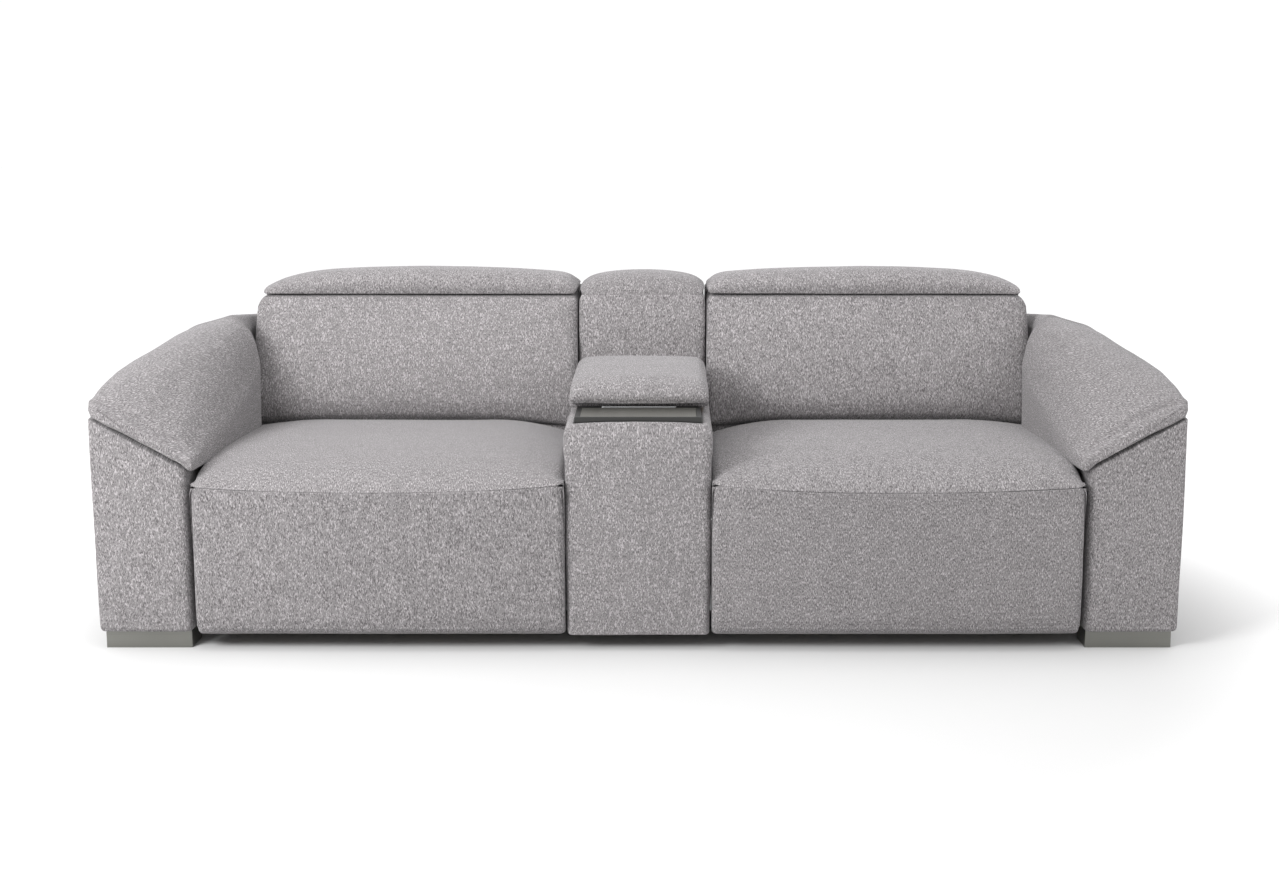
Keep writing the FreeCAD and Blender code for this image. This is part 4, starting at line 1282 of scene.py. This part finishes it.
for side, s_, p_, b_, h_, pd, ar, re in (("right", seat_r, panel_r, back_r, head_r, pad_r, arm_r, rear_r),
                                         ("left", seat_l, panel_l, back_l, head_l, pad_l, arm_l, rear_l)):
    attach(s_, "carriage_" + side)
    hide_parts("seat_cushion_" + side)
    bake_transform(p_)
    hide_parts("legrest_pad_" + side)
    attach(b_, "back_" + side)
    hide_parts("back_cushion_" + side)
    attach(re, "back_" + side)
    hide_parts("back_rear_cover_" + side)
    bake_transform(h_)
    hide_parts("headrest_cushion_" + side)
    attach(pd, "base")
    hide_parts("arm_pad_" + side)
    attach(ar, "base")
    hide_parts("arm_cover_" + side)
for o, body, node, fill in ((mid, "base", "console_back_cushion", 0.8), (midhead, "base", "console_head_cushion", 0.85),
                            (console, "base", "console_cover", 0.85), (lid, "console_lid", "lid_pad", 0.85),
                            (crear, "base", "console_rear_cover", 0.9)):
    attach(o, body)
    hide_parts(node)

# ------------------------------------------------------------------ floor, light, camera
bpy.ops.mesh.primitive_plane_add(size=60)
floor = bpy.context.active_object
floor.name = "floor"
fm, nt, b = nodes_of("floor_painted_shade_near_sofa")
fv = obj_coord(nt)
fc = noise(nt, fv, 3.0, 2.0, 0.5)
# painted shade: the floor is coloured darker near the sofa, standing in for its contact shadow and the weaker bounce
# there, and paler away from the sofa, painting out the key light's cast shadow so that the sweep behind it stays even
far = nt.nodes.new("ShaderNodeVectorMath")
far.operation = "LENGTH"
nt.links.new(scaled(nt, fv, (1.0, 1.0, 0.0), (0.0, 0.55, 0.0)), far.inputs[0])
floor_shade_ramp = nt.nodes.new("ShaderNodeMapRange")
floor_shade_ramp.interpolation_type = "SMOOTHSTEP"
nt.links.new(far.outputs["Value"], floor_shade_ramp.inputs[0])
floor_shade_ramp.inputs[1].default_value, floor_shade_ramp.inputs[2].default_value = 1.05, 1.9
floor_shade_ramp.inputs[3].default_value, floor_shade_ramp.inputs[4].default_value = 0.57, 0.985
nt.links.new(ramp(nt, math_node(nt, "MULTIPLY_ADD", fc, 0.01, floor_shade_ramp.outputs[0]), [(0.0, 0.0), (1.0, 1.0)]), b.inputs["Base Color"])
b.inputs["Roughness"].default_value = 0.9
b.inputs["Specular IOR Level"].default_value = 0.1
dress(floor, fm)

world = bpy.data.worlds.new("studio")
scene.world = world
world.use_nodes = True
bg = world.node_tree.nodes["Background"]
bg.inputs[0].default_value = (1, 1, 1, 1)
bg.inputs[1].default_value = 1.03


def area(name, loc, aim, size, power, shape="RECTANGLE", size_y=None):
    li = bpy.data.lights.new(name, "AREA")
    li.shape = shape
    li.size = size
    if size_y:
        li.size_y = size_y
    li.energy = power
    ob = bpy.data.objects.new(name, li)
    ob.location = loc
    ob.rotation_euler = (Vector(aim) - Vector(loc)).to_track_quat("-Z", "Y").to_euler()
    scene.collection.objects.link(ob)
    return ob


area("key_left", (-2.5, -3.0, 2.3), (-0.5, 0.0, 0.45), 1.7, 156, size_y=1.2)
area("key_right", (3.0, -3.0, 2.3), (0.6, 0.0, 0.45), 1.4, 20, size_y=1.1)
area("top", (0.0, -0.6, 3.4), (0, -0.3, 0.3), 4.0, 44, size_y=2.6)

cam = bpy.data.cameras.new("camera")
cam.sensor_width = 36.0
cam.lens = 1900.0 / 1279.0 * 36.0
cam.clip_start, cam.clip_end = 0.05, 100
co_ = bpy.data.objects.new("camera", cam)
co_.location = (0.066, -4.562, 1.2044)
co_.rotation_euler = (math.radians(90 - 10.2), 0, 0)
cam.shift_x = -(668.3 - 639.5) / 1279.0
scene.collection.objects.link(co_)
scene.camera = co_
scene.view_settings.view_transform = "Standard"
scene.view_settings.look = "None"
